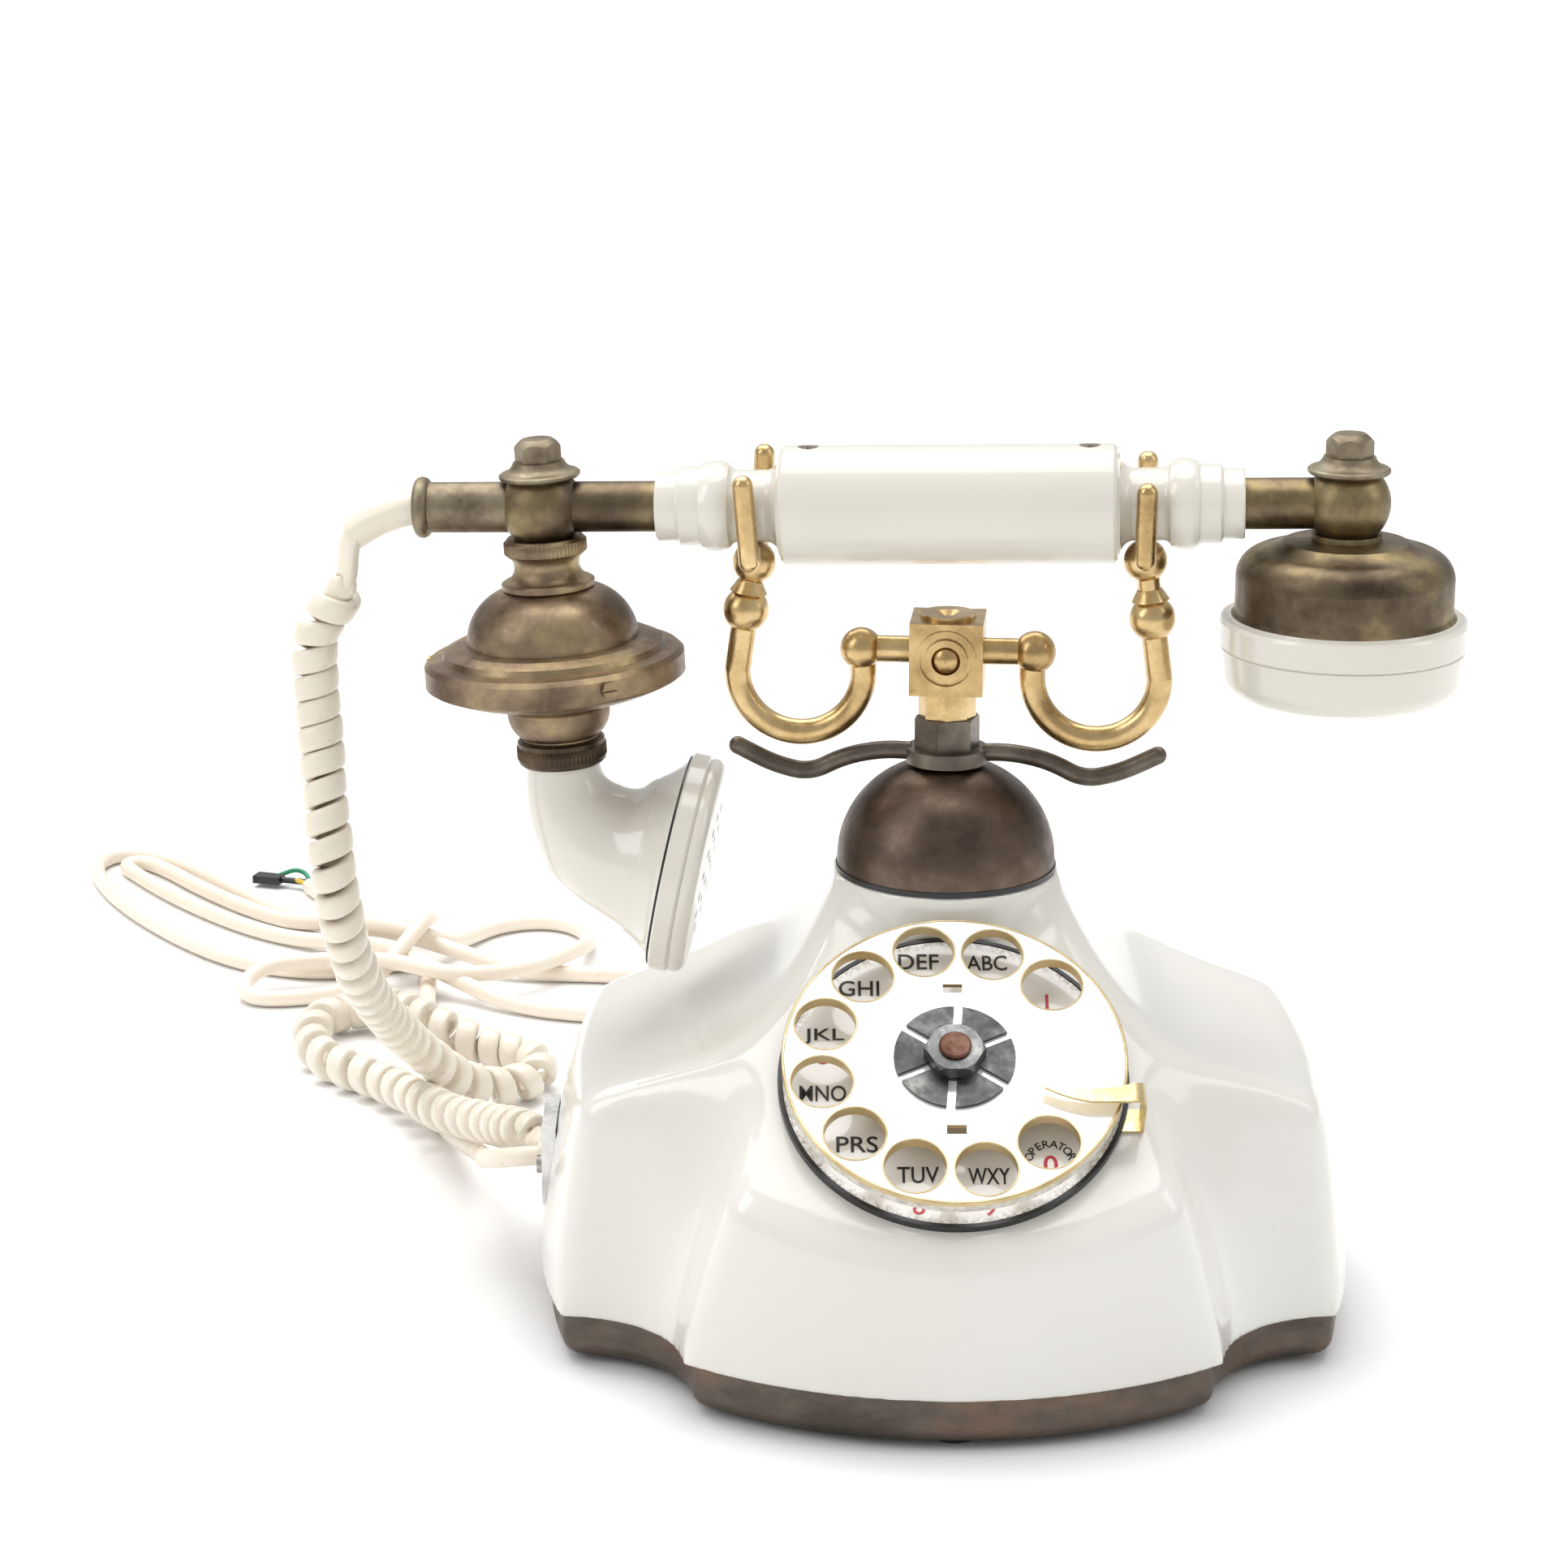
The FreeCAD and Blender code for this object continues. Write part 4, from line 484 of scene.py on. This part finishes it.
petal_steel = metal("petal_steel", ((0.055, 0.056, 0.057), (0.105, 0.106, 0.106), (0.25, 0.25, 0.24)), 0.34, 70.0,
                    pits=0.4)
hub_steel = metal("hub_steel", ((0.13, 0.13, 0.13), (0.20, 0.20, 0.20), (0.33, 0.33, 0.32)), 0.33, 120.0, pits=0.5)
stop_brass = metal("stop_brass", ((0.62, 0.46, 0.20), (0.78, 0.62, 0.33), (0.88, 0.77, 0.52)), 0.20, 60.0,
                   bump=0.00001)
shaft_copper = metal("shaft_copper", ((0.085, 0.040, 0.030), (0.15, 0.075, 0.055), (0.22, 0.125, 0.095)), 0.42, 120.0)
plain_steel = metal("plain_steel", ((0.30, 0.29, 0.27), (0.46, 0.45, 0.43), (0.60, 0.59, 0.57)), 0.30, 80.0)
pale_steel = metal("pale_steel", ((0.52, 0.51, 0.48), (0.70, 0.69, 0.66), (0.80, 0.79, 0.76)), 0.34, 90.0)
inner_brass = metal("inner_brass", ((0.50, 0.36, 0.16), (0.62, 0.47, 0.24), (0.74, 0.60, 0.34)), 0.28, 60.0)
black_plastic = plastic("black_plastic", (0.022, 0.022, 0.024), (0.012, 0.012, 0.013), 0.34)
rubber_black = plastic("rubber_black", (0.035, 0.034, 0.033), (0.02, 0.02, 0.02), 0.75, bump=0.0001)
inner_plastic = plastic("inner_plastic", (0.20, 0.13, 0.07), (0.13, 0.08, 0.05), 0.5)
coil_ivory = cord_skin("coil_ivory", (0.80, 0.735, 0.62), (0.745, 0.675, 0.555), 0.30)
line_ivory = cord_skin("line_ivory", (0.88, 0.79, 0.67), (0.85, 0.745, 0.62), 0.40)
ink_black = plastic("ink_black", (0.025, 0.025, 0.027), (0.02, 0.02, 0.02), 0.4)
ink_red = plastic("ink_red", (0.62, 0.045, 0.07), (0.55, 0.04, 0.06), 0.4)
wire_yellow = plastic("wire_yellow", (0.72, 0.50, 0.06), (0.66, 0.44, 0.05), 0.4)
wire_green = plastic("wire_green", (0.02, 0.30, 0.15), (0.02, 0.24, 0.12), 0.4)

LOOKS = {
    shell_white: ["base_shell"],
    handset_white: ["handle_barrel", "handle_ends", "mouth_horn", "mouth_cap", "receiver_ring", "receiver_cap"],
    dark_brass: ["transmitter_ring"],
    aged_brass: ["transmitter_neck", "transmitter_shell", "transmitter_cover", "cover_screws",
                 "transmitter_collar"],
    brown_brass: ["handle_tube", "elbow_balls", "receiver_shell"],
    green_brass: ["cord_tube", "finials", "elbow_nuts", "handle_screws"],
    bright_brass: ["cradle_cube", "cradle_collar", "cross_rods", "cradle_balls", "cradle_arms", "cradle_forks"],
    dark_bronze: ["bell_dome"],
    base_bronze: ["base_plate"],
    black_steel: ["wave_bracket", "post_nut"],
    petal_steel: ["wheel_retainer"],
    hub_steel: ["hub_nut"],
    stop_brass: ["finger_stop"],
    shaft_copper: ["dial_shaft"],
    plain_steel: ["base_screws", "post_tube", "main_spring_barrel", "hook_switch", "ringer_gongs", "ringer_motor",
                  "plunger_rod"],
    pale_steel: ["cord_clamp_plate"],
    inner_brass: ["dial_frame", "main_gear", "governor_pinion"],
    black_plastic: ["dome_gasket", "dial_cup", "horn_gasket", "transmitter_capsule", "receiver_capsule",
                    "cord_end_lugs"],
    rubber_black: ["rubber_feet"],
    inner_plastic: ["network_block"],
    line_ivory: ["cord_grommets"],
    coil_ivory: ["cord_sleeve"],
    wheel_finish(): ["finger_wheel"],
    plate_finish(): ["number_plate"],
}


def wear(thing, material):
    thing.data.materials.clear()
    thing.data.materials.append(material)


for finish, names in LOOKS.items():
    for name in names:
        wear(CAD[name], finish)
wear(curly, coil_ivory)
wear(line_lead, line_ivory)
wear(yellow_wire, wire_yellow)
wear(green_wire, wire_green)


# ------------------------------------------------------------------ shell: creases softened as in a casting
NECK_HEIGHT, DIAL_CLEAR, GLAND_PLACE, GLAND_CLEAR = 0.096, 0.0425, (-0.094, 0.001, 0.0355), 0.018


def soft_mask(tree):
    """A share from 0 to 1 for each point of the shell: 0 beside the dial, the neck, the rim and the gland."""
    def math_node(kind, first, second, clamp=False):
        made = tree.nodes.new("ShaderNodeMath")
        made.operation, made.use_clamp = kind, clamp
        for socket, value in zip(made.inputs, (first, second)):
            if hasattr(value, "is_output"):
                tree.links.new(value, socket)
            else:
                socket.default_value = value
        return made.outputs[0]

    def distance(point):
        away = tree.nodes.new("ShaderNodeVectorMath")
        away.operation = "DISTANCE"
        tree.links.new(position, away.inputs[0])
        away.inputs[1].default_value = point
        return away.outputs["Value"]

    def fade(value, start, width):
        return math_node("MULTIPLY", math_node("SUBTRACT", value, start), 1 / width, True)

    position = tree.nodes.new("GeometryNodeInputPosition").outputs[0]
    split = tree.nodes.new("ShaderNodeSeparateXYZ")
    tree.links.new(position, split.inputs[0])
    height = split.outputs[2]
    low = fade(height, 0.0128, 0.005)
    high = math_node("SUBTRACT", 1.0, fade(height, NECK_HEIGHT, 0.008), True)
    dial = fade(distance(DIAL_PLACE), DIAL_CLEAR, 0.009)
    gland = fade(distance(GLAND_PLACE), GLAND_CLEAR, 0.008)
    return math_node("MULTIPLY", math_node("MULTIPLY", low, high), math_node("MULTIPLY", dial, gland))


def soften(thing, voxel, rounds):
    """Remeshes evenly, then blurs the points' places where the mask allows."""
    weld = thing.modifiers.new("weld", "WELD")
    weld.merge_threshold = 0.00001
    remesh = thing.modifiers.new("remesh", "REMESH")
    remesh.mode, remesh.voxel_size, remesh.use_smooth_shade = "VOXEL", voxel, True
    tree = bpy.data.node_groups.new("soft_creases", "GeometryNodeTree")
    tree.interface.new_socket("Geometry", in_out="INPUT", socket_type="NodeSocketGeometry")
    tree.interface.new_socket("Geometry", in_out="OUTPUT", socket_type="NodeSocketGeometry")
    start, finish = tree.nodes.new("NodeGroupInput"), tree.nodes.new("NodeGroupOutput")
    blur = tree.nodes.new("GeometryNodeBlurAttribute")
    blur.data_type = "FLOAT_VECTOR"
    blur.inputs["Iterations"].default_value = rounds
    value = [s for s in blur.inputs if s.name == "Value" and s.type == "VECTOR"][0]
    tree.links.new(tree.nodes.new("GeometryNodeInputPosition").outputs[0], value)
    tree.links.new(soft_mask(tree), blur.inputs["Weight"])
    place = tree.nodes.new("GeometryNodeSetPosition")
    tree.links.new(start.outputs[0], place.inputs["Geometry"])
    tree.links.new([s for s in blur.outputs if s.type == "VECTOR"][0], place.inputs["Position"])
    tree.links.new(place.outputs[0], finish.inputs[0])
    thing.modifiers.new("creases", "NODES").node_group = tree
    settle = thing.modifiers.new("settle", "SMOOTH")
    settle.factor, settle.iterations = 0.5, 3


soften(CAD["base_shell"], 0.001, 70)


# ------------------------------------------------------------------ dial printing
def lettering(name, text, height, width=None):
    """Flat text as a mesh, its middle at the origin, drawn to the given height and width in millimetres."""
    data = bpy.data.curves.new(name, "FONT")
    data.body, data.size, data.offset = text, 1.0, 0.010
    data.resolution_u = 4
    holder = bpy.data.objects.new(name, data)
    mesh = bpy.data.meshes.new_from_object(holder)
    bpy.data.objects.remove(holder)
    xs, ys = [v.co.x for v in mesh.vertices], [v.co.y for v in mesh.vertices]
    middle = Vector(((max(xs) + min(xs)) / 2, (max(ys) + min(ys)) / 2, 0))
    tall = height * MM / (max(ys) - min(ys))
    wide = width * MM / (max(xs) - min(xs)) if width else tall
    mesh.transform(Matrix.Diagonal((wide, tall, 1, 1)) @ Matrix.Translation(-middle))
    return mesh


def gather(name, parts, body, material):
    """Joins (mesh, matrix) pairs into one piece."""
    work = bmesh.new()
    for mesh, matrix in parts:
        copy = mesh.copy()
        copy.transform(matrix)
        work.from_mesh(copy)
        bpy.data.meshes.remove(copy)
    data = bpy.data.meshes.new(name)
    work.to_mesh(data)
    work.free()
    thing = add_object(name, data, body)
    wear(thing, material)


# millimetres and degrees in the dial's own axes
HOLE_CIRCLE, FIRST_HOLE, HOLE_STEP, PRINT_Z = 30.0, 42.0, 30.0, -8.12
PRINT_TURN = 1.8        # the plate sits a little turned behind the wheel
GROUPS = ["", "ABC", "DEF", "GHI", "JKL", "MNO", "PRS", "TUV", "WXY", ""]
LETTER_HEIGHT, LETTER_RAISE, GROUP_WIDTH, WIDEST_GROUP = 4.3, 3.3, 9.2, 10.4
DIGIT_HEIGHT, LAST_DIGIT_HEIGHT, DIGIT_DROP = 4.3, 5.0, -3.3
OWN_DROPS = {0: 0.4, 4: -2.2, 7: -4.8, 8: -4.8, 9: -1.2}        # digits that sit elsewhere in their holes
WORD, WORD_ARC, WORD_HEIGHT, WORD_DROP, WORD_SPREAD = "OPERATOR", 4.9, 1.95, -0.6, 72


def on_dial(x, y, turn=0.0, z=PRINT_Z):
    return DIAL @ Matrix.Translation((x * MM, y * MM, z * MM)) @ Matrix.Rotation(turn, 4, "Z")


def print_dial():
    """Letters above each digit, and the word in an arc over the last one."""
    black, red = [], []
    for k, letters in enumerate(GROUPS):
        angle = math.radians(FIRST_HOLE + HOLE_STEP * k + PRINT_TURN)
        x, y = HOLE_CIRCLE * math.cos(angle), HOLE_CIRCLE * math.sin(angle)
        last = k == len(GROUPS) - 1
        if letters:
            width = WIDEST_GROUP if "M" in letters else GROUP_WIDTH
            black.append((lettering("letters", letters, LETTER_HEIGHT, width), on_dial(x, y + LETTER_RAISE)))
        digit = lettering("digit", str((k + 1) % 10), LAST_DIGIT_HEIGHT if last else DIGIT_HEIGHT)
        red.append((digit, on_dial(x, y + OWN_DROPS.get(k, DIGIT_DROP))))
        if last:
            for i, letter in enumerate(WORD):
                lean = math.radians(WORD_SPREAD - i * 2 * WORD_SPREAD / (len(WORD) - 1))
                black.append((lettering("operator", letter, WORD_HEIGHT), on_dial(
                    x - WORD_ARC * math.sin(lean), y + WORD_DROP + WORD_ARC * math.cos(lean), lean)))
    gather("dial_letters", black, "base", ink_black)
    gather("dial_digits", red, "base", ink_red)


print_dial()


# ------------------------------------------------------------------ rolled edges of the finger wheel
RIM_RADIUS, RIM_BEAD, RIM_DOWN, RIM_STEPS = 38.0, 0.42, -0.25, 160
LIP_RADIUS, LIP_BEAD, LIP_DOWN, LIP_STEPS = 7.0, 0.27, -0.12, 64


def rolled_edge(frame_matrix, radius, thick, steps):
    """Points and faces of a bead around a circle."""
    points, faces, rings = [], [], 8
    for i in range(steps):
        a = 2 * math.pi * i / steps
        for k in range(rings):
            b = 2 * math.pi * k / rings
            r = radius + thick * math.cos(b)
            height = thick * math.sin(b)
            points.append(frame_matrix @ Vector((r * math.cos(a) * MM, r * math.sin(a) * MM, height * MM)))
    for i in range(steps):
        for k in range(rings):
            j, m = (i + 1) % steps, (k + 1) % rings
            faces.append((i * rings + k, j * rings + k, j * rings + m, i * rings + m))
    return points, faces


def wheel_edges():
    """Bare brass beads round the rim and round every finger hole."""
    points, faces = [], []
    beads = [(0, 0, RIM_DOWN, RIM_RADIUS, RIM_BEAD, RIM_STEPS)]
    for k in range(len(GROUPS)):
        angle = math.radians(FIRST_HOLE + HOLE_STEP * k)
        beads.append((HOLE_CIRCLE * math.cos(angle), HOLE_CIRCLE * math.sin(angle), LIP_DOWN, LIP_RADIUS, LIP_BEAD,
                      LIP_STEPS))
    for x, y, z, radius, thick, steps in beads:
        more, quads = rolled_edge(on_dial(x, y, 0.0, z), radius, thick, steps)
        faces += [tuple(i + len(points) for i in quad) for quad in quads]
        points += more
    thing = add_object("wheel_edges", mesh_of("wheel_edges", points, faces), "dial_wheel")
    wear(thing, edge_brass)


wheel_edges()

# ------------------------------------------------------------------ knurled rings
HANDSET = (Matrix.Translation((0, 0, 192.4 * MM)) @ Matrix.Rotation(math.radians(-5.44), 4, "Z")
           @ Matrix.Rotation(math.radians(-1.43), 4, "Y"))
RIDGE_HEIGHT = 0.34
TRANSMITTER = HANDSET @ Matrix.Translation((-93.9 * MM, 0, 0)) @ Matrix.Rotation(math.radians(-2.3), 4, "Y")


def knurled(name, profile, ridges, material):
    """A ring turned about the transmitter's axis from (radius, height, cut) points; where cut is 1 its outside
    stands up in fine ridges."""
    count = ridges * 4
    points, faces = [], []
    for radius, height, cut in profile:
        for i in range(count):
            a = 2 * math.pi * i / count
            r = radius + cut * RIDGE_HEIGHT * (0.5 + 0.5 * math.cos(a * ridges))
            points.append(TRANSMITTER @ Vector((r * math.cos(a) * MM, r * math.sin(a) * MM, height * MM)))
    rows = len(profile)
    for j in range(rows - 1):
        for i in range(count):
            k = (i + 1) % count
            faces.append((j * count + i, (j + 1) * count + i, (j + 1) * count + k, j * count + k))
    thing = add_object(name, mesh_of(name, points, faces), "handset")
    wear(thing, material)


knurled("collar_knurl", [(8.6, -7.2, 0), (9.2, -7.5, 0), (9.3, -7.9, 1), (9.3, -10.3, 1), (9.2, -10.7, 0),
                         (8.6, -11.0, 0)], 60, aged_brass)
knurled("ring_knurl", [(9.6, -56.0, 0), (10.1, -56.2, 0), (10.2, -56.5, 1), (10.2, -59.2, 1), (10.1, -59.5, 0),
                       (9.6, -59.7, 0)], 64, dark_brass)


# ------------------------------------------------------------------ floor and light
FLOOR_HALF = 60         # metres
SUN_POWER, SUN_SPREAD, SUN_LEAN = 2.25, 60, -16
SKY_POWER, LAMPS_AIM = 0.59, Vector((0, 0, 0.10))
LAMPS = (       # name, place, width, height, power
    ("left_box", (-0.95, -0.45, 0.85), 0.45, 0.9, 3.2),
    ("right_box", (1.05, -0.25, 0.80), 0.35, 0.9, 1.7),
    ("back_box", (-0.60, 0.50, 0.95), 0.6, 0.6, 3.0))


def make_stage():
    """Pale paper floor, a wide soft sun overhead, three soft boxes and an even white sky."""
    corners = [(x * FLOOR_HALF, y * FLOOR_HALF, 0) for x, y in ((-1, -1), (1, -1), (1, 1), (-1, 1))]
    floor = add_object("floor", mesh_of("floor", corners, [(0, 1, 2, 3)]))
    n = Nodes("floor_paper")
    n.set(Base_Color=n.ramp(n.noise(0.8, 2.0), (0.3, 0.90), (0.7, 0.91)), Roughness=0.7, Specular_IOR_Level=0.1)
    wear(floor, n.material)
    overhead = bpy.data.lights.new("overhead", "SUN")
    overhead.energy, overhead.angle = SUN_POWER, math.radians(SUN_SPREAD)
    add_object("overhead", overhead).rotation_euler = (math.radians(SUN_LEAN), 0, 0)
    for name, place, wide, tall, power in LAMPS:
        lamp = bpy.data.lights.new(name, "AREA")
        lamp.shape, lamp.size, lamp.size_y, lamp.energy = "RECTANGLE", wide, tall, power
        holder = add_object(name, lamp)
        holder.location = place
        holder.rotation_euler = (LAMPS_AIM - Vector(place)).to_track_quat("-Z", "Y").to_euler()
    world = bpy.data.worlds.new("studio")
    world.use_nodes = True
    world.node_tree.nodes["Background"].inputs[0].default_value = (1, 1, 1, 1)
    world.node_tree.nodes["Background"].inputs[1].default_value = SKY_POWER
    bpy.context.scene.world = world
    bpy.context.scene.view_settings.view_transform = "Standard"


make_stage()
